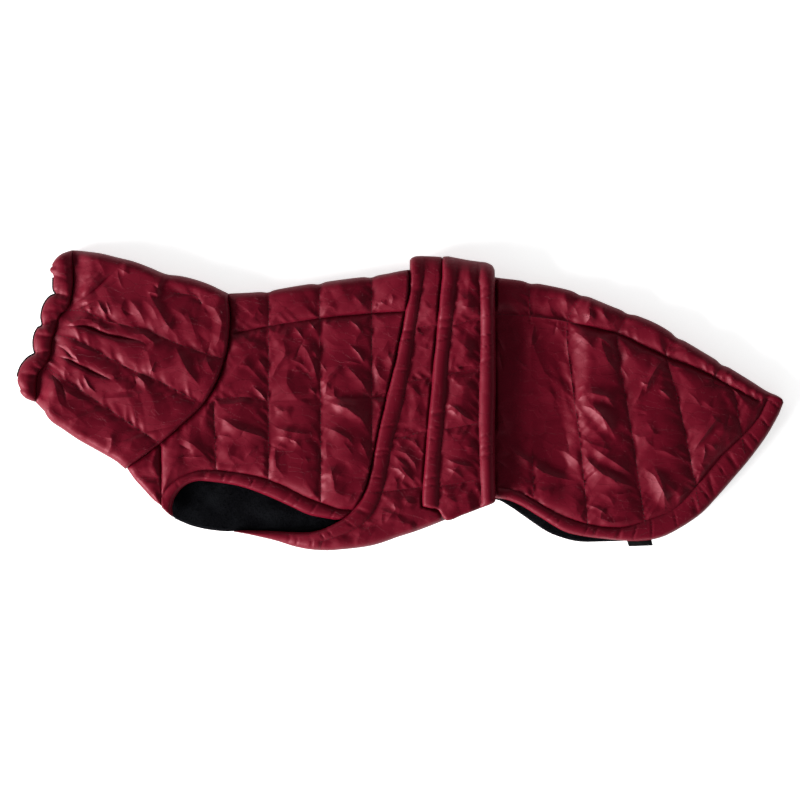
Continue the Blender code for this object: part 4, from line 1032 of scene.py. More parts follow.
    def mesh(self, name: str) -> Mesh:
        """The wall as a mesh, in metres, with its faces outwards."""
        mesh = bpy.data.meshes.new(name)
        mesh.from_pydata((np.array(self.points) * MM).tolist(), [], self.faces)
        mesh.polygons.foreach_set("material_index", self.skins)
        work = bmesh.new()
        work.from_mesh(mesh)
        bmesh.ops.recalc_face_normals(work, faces=work.faces[:])
        work.to_mesh(mesh)
        work.free()
        mesh.shade_smooth()
        ends = np.empty(2 * len(mesh.edges), int)
        mesh.edges.foreach_get("vertices", ends)
        creased = np.isin(ends, np.array(sorted(self.stitched), int)).reshape(-1, 2).all(axis=1)
        mesh.attributes.new("sharp_edge", "BOOLEAN", "EDGE").data.foreach_set("value", creased)
        return mesh


def squared(
    outward: Array, line: Array, first: Pair | None = None, last: Pair | None = None,
    blend: float = 25.0,
) -> Array:
    """Turns the ends of a row of directions so that neighbouring turns meet squarely.

    Args:
        outward: Unit directions.
        line: The places of the directions.
        first: The direction wanted at the row's start.
        last: The direction wanted at its end.
        blend: The length over which a direction turns, in millimetres.

    Returns:
        The turned directions.
    """
    along = length_along(line)
    result = outward.copy()
    for given, away in ((first, along), (last, along[-1] - along)):
        if given is None:
            continue
        target = np.array(given, float) / math.hypot(*given)
        share = np.clip(1 - away / blend, 0, 1)[:, None]
        result = result * (1 - share) + target * share
        result /= np.linalg.norm(result, axis=1)[:, None]
    return result


# --- how the layers are stacked
WING_FRONT_X, WING_REAR_X = 9.3, 88.0  # where the near wing crosses the spine
BELT_FRONT_X, BELT_REAR_X = 40.6, 90.8  # where the far wing crosses it
TIP_AREA = np.array([(9, 100), (9, 140), (91, 140), (91, 100)])  # the near wing's end at the spine
GROUND_REAR = ((91, -97), (91, 118))  # rear and front of what lies on the ground under the far side
GROUND_FRONT = ((-227, -66), (-227, -103))
WING_BEHIND = ((9, 140), (92, 140), (92, -98), (44, -116))  # top and rear of the wing with its belt
BELT_BEHIND = ((92, -97), (92, 140), (40, 140))  # and of the belt
SPINE_ENDS, SPINE_TAPER = (1.0, 0.05), 30.0  # shares of the turn left at the neck and the tail's tip
BELLY_FOLD_X, BELLY_ENDS, BELLY_TAPER = -160.0, (0.8, 0.08), 70.0  # front end, and shares left there


def spine_fold(step: float) -> tuple[Array, Array, Array]:
    """The coat's silhouette at the spine, how far the fold reaches, and the fold's line in the plan."""
    silhouette = smooth(SPINE, step)
    reach = SPINE_TURN * taper(silhouette, *SPINE_ENDS, SPINE_TAPER)
    return silhouette, reach, moved(silhouette, reach)


def spine_between(start: float, end: float) -> Array:
    """The fold's line where a wing crosses it."""
    fold = spine_fold(PLAN_STEP)[2]
    x = np.linspace(start, end, max(3, round((end - start) / SKIN_STEP)) + 1)
    return np.column_stack([x, np.interp(x, fold[:, 0], fold[:, 1])])


def ground_outline() -> Array:
    """Plan of the layer on the ground under the far side: the belly panel and the far wing."""
    edge, front = smooth_all((BELLY_EDGE, FAR_WING_FRONT), PLAN_STEP)
    return np.vstack([edge, GROUND_REAR, front, GROUND_FRONT])


def wing_outline() -> Array:
    """Plan of the near wing, with the belt on it."""
    belly, front = (edge[::-1] for edge in smooth_all((BELLY_EDGE, WING_FRONT), PLAN_STEP))
    return np.vstack([WING_BEHIND, belly, front])


def tip_share(points: Array) -> Array:
    """1 over the near wing's end, which lies under the far side at the spine."""
    return footprint(points, TIP_AREA, TIP_MARGIN, TIP_RAMP)


def ground_share(points: Array) -> Array:
    """1 where the belly panel, the far wing or the near wing's end lies under the far side."""
    return np.maximum(footprint(points, ground_outline(), GROUND_MARGIN, GROUND_RAMP), tip_share(points))


def pressed(points: Array) -> Array:
    """1 where the near wing and the belt press the near side flat."""
    return footprint(points, wing_outline(), 0, PRESS_RAMP)


def near_inside(points: Array) -> Array:
    """Height of the inside of the side that faces up."""
    return NEAR_LEVEL + LAYER_RISE * tip_share(points)


def far_outside(points: Array) -> Array:
    """Height of the outside of the side that faces the ground."""
    return LAYER_RISE * (ground_share(points) + tip_share(points))


def far_inside(points: Array) -> Array:
    """Height of the inside of the side that faces the ground."""
    return far_outside(points) + FAR_WALL - (FAR_WALL - THIN_WALL) * ground_share(points)


def level(height: float) -> Height:
    """A height function that is the same everywhere."""
    return lambda points: np.full(len(points), float(height))


@dataclass
class Underside:
    """The skin that rests on the ground: flat, with the quilting pressed in as soft grooves."""

    stitching: list[Array]
    edges: list[Array] = field(default_factory=list)
    depth: float = 1.1  # of its grooves
    width: float = 3.0
    base: Height = level(0.0)  # its level where it has none

    def at(self, points: Array) -> Array:
        """The skin's height at places in the plan."""
        groove = self.depth * np.exp(-((nearest(points, self.stitching).away / self.width) ** 2))
        rise = groove + (soft_edge(points, self.edges) if self.edges else 0.0)
        return self.base(points) + np.minimum(rise, EDGE_DROP)


# --- the sewn pieces
def placed(name: str, data: ID) -> Object:
    """A new object of the scene, at the origin."""
    made = bpy.data.objects.new(name, data)
    bpy.context.scene.collection.objects.link(made)
    return made


class Slot(Enum):
    """The record's material slots."""

    NYLON = "quilted_nylon"
    FLEECE = "black_fleece"
    TAPE = "black_tape"


@dataclass
class Piece:
    """One sewn piece: its name is the name of the solid that it stands for."""

    name: str
    flat: Pair  # what it was cut from, in metres
    area: float  # the cut's area, in square metres
    slot: Slot = Slot.NYLON
    held: str = "laid"
    rests_on: tuple[str, ...] = ("floor",)

    def cut(self, wall: ClothWall) -> None:
        """Adds the piece's cloth."""
        raise NotImplementedError

    def make(self, finishes: Sequence[Material]) -> Object:
        """Writes the piece as an object, dressed in its finishes.

        Args:
            finishes: The materials of its outer and inner skins.

        Returns:
            The object.
        """
        wall, name = ClothWall(), self.name + "_cloth"
        self.cut(wall)
        mesh = wall.mesh(name)
        for finish in finishes:
            mesh.materials.append(finish)
        made = placed(name, mesh)
        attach(made, "root")
        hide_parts(self.name)
        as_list(self.rests_on)
        log.info("%s: %d triangles", made.name, len(mesh.polygons))
        return made


@dataclass
class BackPanel(Piece):
    """Back, sides and tail flap: one cloth folded at the spine."""

    dip_depth: float = 1.5  # of the silhouette where a stitch line crosses the spine
    dip_width: float = 5.0
    dip_fade: float = 20.0  # length at the spine's ends that has none

    def cut(self, wall: ClothWall) -> None:
        """Adds the piece's cloth."""
        silhouette, reach, fold = spine_fold(SKIN_STEP)
        tail, leg, side, neck = smooth_all((TAIL_EDGE, LEG_EDGE, SIDE_SEAM, NECK_TOP), SKIN_STEP)
        tail, neck = drawn_to(tail, fold[-1], tail[-1]), drawn_to(neck, neck[0], fold[0])
        corner = smooth((leg[-1], *LEG_CORNER), SKIN_STEP)
        seams = [smooth(NECK_TOP, EDGE_STEP), side]
        stitching = smooth_all(SEWN_BODY, QUILT_STEP) + seams
        edges = smooth_all((LEG_EDGE, TAIL_EDGE), EDGE_STEP)
        tail_hem, leg_row, tail_row = smooth_all((TAIL_EDGE[:TAIL_HEM], STITCH_LEG, STITCH_TAIL), EDGE_STEP)
        channels = [Channel(edges[0], leg_row, BODY_ROLL), Channel(tail_hem, tail_row, BODY_ROLL)]
        creases = BODY_CREASES + small_creases((-225, -110), (350, 110), spacing=27, seed=71)
        firm, slack = seams + smooth_all(FIRM_BODY, QUILT_STEP), smooth_all(SLACK_BODY, QUILT_STEP)
        relief = Relief(stitching, BODY_PUFF, creases, channels, firm, BODY_PULL, slack=slack, seed=11)

        def near_top(points: Array) -> Array:
            """The outer skin of the near side."""
            x, y = points.T
            sag = (x > SAG_START) * np.interp(x, (SAG_REAR, SAG_DEEP), SAG_SHARES)
            sag *= 1 - ease(SAG_DEEP, SAG_END, x)
            sag *= ease(*SAG_FOOT, y) * (1 - HEAD_SHARE * ease(*SAG_HEAD, y))
            rise = relief.at(points, pressed(points), sag)
            return near_inside(points) + WALL + rise - soft_edge(points, edges)

        runs = (fold, tail, leg, corner, side, neck)
        crests = fold_lines(creases)
        spine_run, *rims = wall.area(runs, near_top, near_inside, SKIN_STEP, SEWN_BODY, crests)
        far_tail, far_leg = smooth_all((FAR_TAIL_EDGE, FAR_LEG_EDGE), SKIN_STEP)
        far_tail = drawn_to(far_tail, fold[-1], far_tail[-1])
        far_corner = smooth((far_leg[-1], LEG_CORNER[-1]), SKIN_STEP)
        far_edges = smooth_all((FAR_TAIL_EDGE, FAR_LEG_EDGE), FAR_EDGE_STEP)
        under = Underside(stitching, far_edges, base=far_outside)
        far_runs = (fold, far_tail, far_leg, far_corner, side, neck)
        far_run, *far_rims = wall.area(far_runs, under.at, far_inside, UNDER_STEP, SEWN_BODY)
        wall.rims(rims + far_rims)
        off_line = nearest(fold, smooth_all(QUILT_BODY, FAR_QUILT_STEP)).away
        dips = self.dip_depth * np.exp(-((off_line / self.dip_width) ** 2))
        outward = squared(-normals(silhouette), silhouette, first=UP)
        wall.turn(spine_run, far_run, outward, reach - dips * taper(silhouette, 0.0, 0.0, self.dip_fade))


@dataclass
class Collar(Piece):
    """The gathered tube, flattened: a near and a far layer joined by folds along its top and its foot."""

    neck: float = 0.25  # share of its height at the neck seam
    steep: Pair = (0.6, 2.0)  # share that it gains near the seam, and the distance for it
    gentle: Pair = (0.15, 11.0)  # and farther out
    fill: float = 1.5  # padding beyond that of its quilting
    mouth_start: float = 1.5  # distances from the elastic between which it fills out
    mouth_full: float = 21.0
    gather_pitch: float = 11.0  # of the pleats beside the elastic
    gather_run: float = 40.0
    gather_depth: float = 1.8
    gather_start: float = 3.0  # distances at which they begin and fade
    gather_reach: float = 9.0

    def cut(self, wall: ClothWall) -> None:
        """Adds the piece's cloth."""
        top, foot = smooth(COLLAR_TOP, SKIN_STEP), smooth(COLLAR_FOOT, SKIN_STEP)[::-1]
        neck = np.vstack([smooth(NECK_FOOT, SKIN_STEP)[:-1], smooth(NECK_TOP, SKIN_STEP)])
        neck, elastic = moved(neck, -SEAM_GAP)[::-1], smooth(ELASTIC, SKIN_STEP)[::-1]
        top_fold = drawn_to(moved(top, COLLAR_TURN), elastic[-1], neck[0])
        foot_fold = drawn_to(moved(foot, COLLAR_TURN), neck[-1], elastic[0])
        seam, gather = smooth_all((np.vstack([NECK_FOOT[:-1], NECK_TOP]), ELASTIC), EDGE_STEP)
        stitching = smooth_all(QUILT_COLLAR, QUILT_STEP)
        creases = COLLAR_CREASES + small_creases((-330, -50), (-175, 130), spacing=27, seed=73)
        relief = Relief(stitching, COLLAR_PUFF, creases, pull=COLLAR_PULL, seed=23)
        grain = Grain(29)

        def near_top(points: Array) -> Array:
            """The outer skin of the near side."""
            place = nearest(points, (gather,))
            off_seam = distance_to(points, seam)
            share = self.steep[0] * ease(0, self.steep[1], off_seam)
            share += self.gentle[0] * ease(0, self.gentle[1], off_seam)
            filled = ease(self.mouth_start, self.mouth_full, place.away)
            rise = (relief.at(points) + self.fill) * filled * (self.neck + share)
            pleats = grain.creased(place.along / self.gather_pitch, place.away / self.gather_run)
            pleats = np.maximum(pleats, -1) * ease(0, self.gather_start, place.away) - 1
            rise += self.gather_depth * pleats * np.exp(-place.away / self.gather_reach)
            return NEAR_LEVEL + WALL + rise

        runs = (top_fold, neck, foot_fold, elastic)
        inner, crests = level(NEAR_LEVEL), fold_lines(creases)
        near = wall.area(runs, near_top, inner, SKIN_STEP, QUILT_COLLAR, crests)
        under = Underside(stitching + [seam])
        far = wall.area(runs, under.at, level(FAR_WALL), UNDER_STEP, QUILT_COLLAR)
        wall.rims([near[1], near[3], far[1], far[3]])
        wall.turn(near[0], far[0], squared(-normals(top), top, UP, UP), COLLAR_TURN)
        outward = squared(-normals(foot), foot, NECK_DOWN, MOUTH_DOWN)
        wall.turn(near[2], far[2], outward, COLLAR_TURN)


@dataclass
class CollarHem(Piece):
    """The turned hem beyond the elastic, pinched into lobes."""

    foot_way: Pair = (-357.5, 7)  # where its two folds pass between elastic and mouth
    top_way: Pair = (-324.5, 134)
    foot_corner: Pair = (-0.6, -0.8)  # ways in which their turns point at the mouth
    top_corner: Pair = (-0.6, 0.8)
    corner_share: float = 0.05  # of their reach's square that is left there
    lobe_low: float = 2.0  # height of its lobes over NEAR_LEVEL at their edges
    lobe_rise: float = 6.5  # and how much more in the middle
    lobe_least: float = 1.4  # what the pinches leave
    roll_ends: float = 0.08  # how far round its roll it starts and ends, as a share of half a turn
    roll_shape: float = 0.8
    pleat_pitch: float = 6.0
    pleat_depth: float = 1.3
    pleat_run: float = 0.7  # how much they change, and how fast they fade, from elastic to mouth
    pleat_fade: float = 2.2
    calm: float = 9.0  # distance from its two folds in which they fade, too

    def cut(self, wall: ClothWall) -> None:
        """Adds the piece's cloth."""
        elastic = moved(smooth(ELASTIC, HEM_STEP), SEAM_GAP)
        mouth = smooth(MOUTH, HEM_STEP)[::-1]
        foot_fold = smooth((elastic[-1], self.foot_way, mouth[0]), HEM_STEP)
        top_fold = smooth((mouth[-1], self.top_way, elastic[0]), HEM_STEP)
        runs = (elastic, foot_fold, mouth, top_fold)
        grain = Grain(5)

        def near_top(points: Array) -> Array:
            """The outer skin of the near side."""
            gathered = nearest(points, (elastic,))
            across = gathered.away / (gathered.away + distance_to(points, mouth) + 0.1)
            angle = math.pi * (self.roll_ends + (1 - 2 * self.roll_ends) * across)
            rounded = self.lobe_low + self.lobe_rise * np.sin(angle) ** self.roll_shape
            pleats = (1 + grain.creased(gathered.along / self.pleat_pitch, across * self.pleat_run)) / 2
            for fold in (foot_fold, top_fold):
                pleats *= ease(0, self.calm, distance_to(points, fold))
            rounded -= self.pleat_depth * np.exp(-across * self.pleat_fade) * pleats
            rounded += crease_relief(points, MOUTH_PINCHES)
            return NEAR_LEVEL + np.maximum(rounded, self.lobe_least)

        near = wall.area(runs, near_top, level(NEAR_LEVEL), HEM_STEP)
        far = wall.area(runs, level(0), level(FAR_WALL), UNDER_STEP)
        wall.rims([near[0], far[0], near[2], far[2]])
        for k, first, last, start, end in (
            (1, MOUTH_DOWN, self.foot_corner, 1.0, self.corner_share),
            (3, self.top_corner, UP, self.corner_share, 1.0),
        ):
            share = np.linspace(0, 1, len(near[k].plan))[:, None]
            outward = np.array(first) * (1 - share) + np.array(last) * share
            outward /= np.linalg.norm(outward, axis=1)[:, None]
            wall.turn(near[k], far[k], outward, COLLAR_TURN * np.sqrt(np.linspace(start, end, len(share))))


@dataclass
class ChestPanel(Piece):
    """The gusset below the neck seam, folded along the chest."""

    corner_reach: float = 0.1  # share of the fold's reach at the leg's corner
    corner_length: float = 16.0  # length over which it grows
    neck_blend: float = 20.0  # length over which it turns down at the neck

    def cut(self, wall: ClothWall) -> None:
        """Adds the piece's cloth."""
        side = moved(smooth(SIDE_SEAM, SKIN_STEP)[::-1], SEAM_GAP)[:-1]
        silhouette = smooth(CHEST_EDGE, SKIN_STEP)[::-1]
        neck = moved(smooth(NECK_FOOT, SKIN_STEP), SEAM_GAP)
        neck[-1] = side[0]
        reach = CHEST_TURN * taper(silhouette, self.corner_reach, 1.0, self.corner_length)
        fold = drawn_to(moved(silhouette, reach), side[-1], neck[0])
        stitching = smooth_all(QUILT_CHEST, EDGE_STEP) + [side, neck]
        relief = Relief(stitching, CHEST_PUFF, CHEST_CREASES, firm=[side, neck], pull=BODY_PULL, seed=31)

        def near_top(points: Array) -> Array:
            """The outer skin of the near side."""
            return NEAR_LEVEL + WALL + relief.at(points)

        runs = (side, fold, neck)
        near = wall.area(runs, near_top, level(NEAR_LEVEL), SKIN_STEP, QUILT_CHEST)
        far = wall.area(runs, Underside(stitching).at, level(FAR_WALL), UNDER_STEP)
        wall.rims([near[0], near[2], far[0], far[2]])
        outward = squared(-normals(silhouette), silhouette, last=NECK_DOWN, blend=self.neck_blend)
        wall.turn(near[1], far[1], outward, reach)


def belly_fold(step: float) -> tuple[Array, Array, Array]:
    """The belly's silhouette, how far the near wing's turn reaches along it, and the turn's line."""
    silhouette = smooth(BELLY_EDGE, step)[::-1]
    silhouette = silhouette[silhouette[:, 0] > BELLY_FOLD_X]
    reach = BELLY_TURN * taper(silhouette, *BELLY_ENDS, BELLY_TAPER)
    return silhouette, reach, moved(silhouette, reach)


@dataclass
class BellyPanel(Piece):
    """The strip between the legs, which lies on the ground with its inside up."""

    seam: Rows = ((-227.3, -66), (-90, -63.7), (90.4, -63.7))  # its edge beneath the coat
    rear: Rows = ((90, -95.5), (60, -105))
    corner: Rows = ((-219, -110.9), (-223.5, -106.9), (-227.3, -103.2))  # where it meets the chest
    front_x: float = -165.0  # where its own front edge begins, in front of the near wing's fold

    def cut(self, wall: ClothWall) -> None:
        """Adds the piece's cloth."""
        fold = moved(belly_fold(SKIN_STEP)[2], SEAM_GAP)
        front_edge = smooth(BELLY_EDGE, SKIN_STEP)[::-1]
        front_edge = moved(front_edge[front_edge[:, 0] < self.front_x], SEAM_GAP)
        outline = np.vstack([smooth(self.seam, UNDER_STEP), self.rear, fold, front_edge, self.corner])
        under = Underside(smooth_all(QUILT_BELLY, FAR_QUILT_STEP), [fold, front_edge])
        wall.flat(outline, level(THIN_WALL), under.at, UNDER_STEP, Skin.OUTER)


def wrap_spine(wall: ClothWall, upper: Run, lower: Run, silhouette: Rows) -> None:
    """Turns a wing over the spine, out to its silhouette there."""
    x, y = np.array(silhouette, float).T
    reach = np.interp(upper.plan[:, 0], x, y) - upper.plan[:, 1]
    wall.turn(upper, lower, np.tile((0.0, 1.0), (len(upper.plan), 1)), reach, reach - WRAP_WALL)


@dataclass
class FarWing(Piece):
    """The far wing: up under the far side, over the spine, and down the near side as the belt on top."""

    far_rear: Rows = ((90.8, 20), (90.4, -63.4))  # its rear edge beneath the coat

    def cut(self, wall: ClothWall) -> None:
        """Adds the piece's cloth."""
        fold = spine_between(BELT_FRONT_X, BELT_REAR_X)
        rear, front, end = (row[::-1] for row in smooth_all((BELT_REAR, BELT_FRONT, BELT_END), SKIN_STEP))
        rear, end = drawn_to(rear, fold[-1], end[0]), drawn_to(end, end[0], front[0])
        front = drawn_to(front, front[0], fold[0])
        stitching = smooth_all(SEWN_BELT, EDGE_STEP)
        edges = smooth_all((BELT_REAR, BELT_FRONT, BELT_END), EDGE_STEP)
        channels = [Channel(edges[0], stitching[1], REAR_ROLL), Channel(edges[1], stitching[0], WING_ROLL)]
        creases = BELT_CREASES + small_creases((48, -95), (78, 110), spacing=26, seed=79)
        relief = Relief(stitching, WING_PUFF, creases, channels, seed=41)

        def belt_inside(points: Array) -> Array:
            """The inside of the belt."""
            return BELT_LEVEL + LAYER_RISE * tip_share(points)

        def belt_top(points: Array) -> Array:
            """The outer skin of the belt."""
            return belt_inside(points) + THIN_WALL + relief.at(points) - soft_edge(points, edges)

        runs = (fold, rear, end, front)
        crests = fold_lines(creases)
        fold_run, *rims = wall.area(runs, belt_top, belt_inside, SKIN_STEP, SEWN_BELT, crests)
        far_front = smooth(FAR_WING_FRONT, SKIN_STEP)[::-1]
        far_front = drawn_to(far_front, far_front[0], fold[0])
        far_rear = smooth((fold[-1], *self.far_rear), SKIN_STEP)
        seam = smooth((far_rear[-1], far_front[0]), SKIN_STEP)
        under = Underside(smooth_all(QUILT_FAR_WING, FAR_QUILT_STEP), [far_front, far_rear])
        runs = (fold, far_rear, seam, far_front)
        far_run, *far_rims = wall.area(runs, under.at, level(THIN_WALL), UNDER_STEP, QUILT_FAR_WING)
        wall.rims(rims + far_rims)
        wrap_spine(wall, fold_run, far_run, BELT_TOP)


@dataclass
class NearWing(Piece):
    """The near wing: a narrow tongue along the belly that widens and runs up over the spine."""

    rear_corner: Pair = (87.5, -95.0)
    rear_way: Pair = (88, 20)  # a place on its rear edge
    foot_way: Pair = (62, -104.5)  # and one between the rear corner and the belly
    climb: Pair = (-115, -62)  # where it leaves the ground and where it lies on the side

    def cut(self, wall: ClothWall) -> None:
        """Adds the piece's cloth."""
        fold = spine_between(WING_FRONT_X, WING_REAR_X)
        silhouette, belly_reach, belly_line = belly_fold(SKIN_STEP)
        foot = smooth((self.rear_corner, self.foot_way, belly_line[0]), SKIN_STEP)
        rear = smooth((fold[-1], self.rear_way, self.rear_corner), SKIN_STEP)
        rear = np.vstack([rear, foot[1:]])
        front = drawn_to(smooth(WING_FRONT, SKIN_STEP)[::-1], belly_line[-1], fold[0])
        stitching = smooth_all(SEWN_WING, EDGE_STEP)
        edges = [smooth(WING_FRONT, EDGE_STEP), rear]
        creases = WING_CREASES + small_creases((-80, -135), (40, -40), spacing=22, seed=83)
        channels = [Channel(edges[0], stitching[0], WING_ROLL)]
        relief = Relief(stitching, WING_PUFF, creases, channels, seed=53)
        belt = np.vstack(smooth_all((BELT_FRONT, BELT_END), PLAN_STEP) + [BELT_BEHIND])

        def wing_inside(points: Array) -> Array:
            """The inside of the wing, on the ground in front and on the coat behind."""
            on_side = ease(*self.climb, points[:, 0])
            return STRIP_LEVEL + (WING_LEVEL - STRIP_LEVEL) * on_side + LAYER_RISE * tip_share(points)

        def wing_top(points: Array) -> Array:
            """The outer skin of the wing."""
            rise = relief.at(points, footprint(points, belt, UNDER_BELT, UNDER_BELT_RAMP))
            return wing_inside(points) + THIN_WALL + rise - soft_edge(points, edges)

        runs = (fold, rear, belly_line, front)
        crests = fold_lines(creases)
        fold_run, rear_run, belly_run, front_run = wall.area(
            runs, wing_top, wing_inside, SKIN_STEP, SEWN_WING, crests
        )
        tip_end = fold[::-1] - (0, TIP_DEPTH)
        tip_runs = (fold, np.array([fold[-1], tip_end[0]]), tip_end, np.array([tip_end[-1], fold[0]]))
        tip_run, *tip_rims = wall.area(tip_runs, level(LAYER_RISE), level(LAYER_RISE + THIN_WALL), UNDER_STEP)
        wall.rims([rear_run, front_run] + tip_rims)
        wrap_spine(wall, fold_run, tip_run, WING_TOP)
        wall.turn(belly_run, None, -normals(silhouette), belly_reach)


@dataclass
class BellyLining(Piece):
    """Fleece of the belly panel, seen through the near leg opening."""

    foot: Rows = ((-62.5, -119.5), (-80, -125), (-94, -126), (-131, -125.3), (-156, -125.8), (-171, -124.8),
                  (-186, -122.8), (-201, -119.4), (-212, -115.2), (-217, -112), (-219.5, -108.5))
    wave_size: Pair = (22.0, 13.0)  # length and breadth
    wave_height: float = 0.6
    rise: float = 0.5  # of the side that shows
    bounds: Pair = (-0.2, 2.2)  # least and most that the waves make of it

    def cut(self, wall: ClothWall) -> None:
        """Adds the piece's cloth."""
        leg = moved(smooth(LEG_EDGE[:-1], LINING_STEP), HIDDEN_EDGE)[::-1]
        outline = np.vstack([leg, smooth(self.foot, LINING_STEP)])
        low, grain = THIN_WALL + SEAM_GAP, Grain(61)

        def top(points: Array) -> Array:
            """The side that shows."""
            length, breadth = self.wave_size
            waves = grain.at(points[:, 0] / length, points[:, 1] / breadth)
            waves = waves + crease_relief(points, LINING_CREASES)
            return low + FLEECE + np.clip(self.rise + self.wave_height * waves, *self.bounds)

        wall.flat(outline, level(low), top, SKIN_STEP, Skin.INNER)


@dataclass
class TailLining(Piece):
    """Fleece of the far side, seen below the near side's tail edge."""

    shown: Pair = (97.0, 205.0)  # stretch of the edge in which it shows
    shown_below: float = -90.0
    drop: float = 0.8  # how far it shows below the far side's edge
    width: float = 15.0

    def cut(self, wall: ClothWall) -> None:
        """Adds the piece's cloth."""
        edge = smooth(FAR_TAIL_EDGE, LINING_STEP)
        start, end = self.shown
        edge = edge[(edge[:, 0] > start) & (edge[:, 0] < end) & (edge[:, 1] < self.shown_below)]
        edge = moved(edge, self.drop)
        outline = np.vstack([edge, moved(edge, self.width)[::-1]])

        def bottom(points: Array) -> Array:
            """The side that lies on the cloth below."""
            return far_inside(points) + SEAM_GAP

        wall.flat(outline, bottom, lambda points: bottom(points) + THIN_FLEECE, SKIN_STEP, Skin.INNER)


@dataclass
class MouthLining(Piece):
    """Fleece edge that shows as a thin line round the mouth."""

    hidden: float = 5.0  # how far it runs on under the hem
    ends: int = 4  # points of the mouth's line left out at each end

    def cut(self, wall: ClothWall) -> None:
        """Adds the piece's cloth."""
        mouth = smooth(MOUTH, HEM_STEP * 2)[self.ends : -self.ends]
        outline = np.vstack([moved(mouth, -self.hidden), moved(mouth, MOUTH_SHOWS)[::-1]])
        low = FAR_WALL + SEAM_GAP
        wall.flat(outline, level(low), level(low + FLEECE), SKIN_STEP, Skin.INNER)


@dataclass
class SideLabel(Piece):
    """A bare tag caught in the seam at the tail's lower edge."""

    corners: Rows = ((213.5, -122), (238, -120.5), (242.9, -139.7), (219.8, -140.6))
    wave: Pair = (0.5, 4.5)  # its height, and its length over 2 pi
    free: float = 14.0  # distance from the seam at which the wave is full

    def cut(self, wall: ClothWall) -> None:
        """Adds the piece's cloth."""
        ends = zip(self.corners, self.corners[1:] + self.corners[:1])
        sides = [smooth(pair, LABEL_STEP)[:-1] for pair in ends]
        low = FAR_WALL + SEAM_GAP

        def top(points: Array) -> Array:
            """The side that shows."""
            height, length = self.wave
            curl = ease(0, self.free, -points[:, 1] + self.corners[0][1])
            return low + LABEL + height * np.sin(points[:, 0] / length) * curl

        wall.flat(np.vstack(sides), level(low), top, HEM_STEP, Skin.OUTER)


# --- finishes
def linear(code: str) -> tuple[float, float, float, float]:
    """An sRGB hex colour as linear red, green, blue and alpha."""
    parts = [int(code[k : k + 2], 16) / 255 for k in (1, 3, 5)]
    curve = [part / 12.92 if part <= 0.04045 else ((part + 0.055) / 1.055) ** 2.4 for part in parts]
    return curve[0], curve[1], curve[2], 1.0


def add_node(tree: NodeTree, kind: str, inputs: dict | None = None, **settings: object) -> Node:
    """Adds a node with its settings and links.

    Args:
        tree: The tree that it joins.
        kind: The node's type.
        inputs: For each input named, a value, an output to link, or a node whose first output is linked.
        settings: The node's own properties.

    Returns:
        The node.
    """
    made = tree.nodes.new(kind)
    for name, value in settings.items():
        setattr(made, name, value)
    for name, value in (inputs or {}).items():
        source = value.outputs[0] if isinstance(value, Node) else value
        if isinstance(source, NodeSocket):
            tree.links.new(source, made.inputs[name])
        else:
            made.inputs[name].default_value = source
    return made


@dataclass(frozen=True)
class Finish:
    """One finish; its pattern reads the object's own coordinates."""

    name: str

    def surface(self, add: AddNode, place: NodeSocket) -> Inputs:
        """Adds the nodes of the finish.

        Args:
            add: Adds a node to the material's tree.
            place: The object's coordinates, in metres.

        Returns:
            What feeds the surface's inputs.
        """
        raise NotImplementedError

    def build(self) -> Material:
        """The material."""
        material = bpy.data.materials.new(self.name)
        material.use_nodes = True
        tree = material.node_tree
        tree.nodes.clear()
        add = partial(add_node, tree)
        place = add("ShaderNodeTexCoord").outputs["Object"]
        surface = add("ShaderNodeBsdfPrincipled", self.surface(add, place))
        add("ShaderNodeOutputMaterial", {"Surface": surface})
        return material


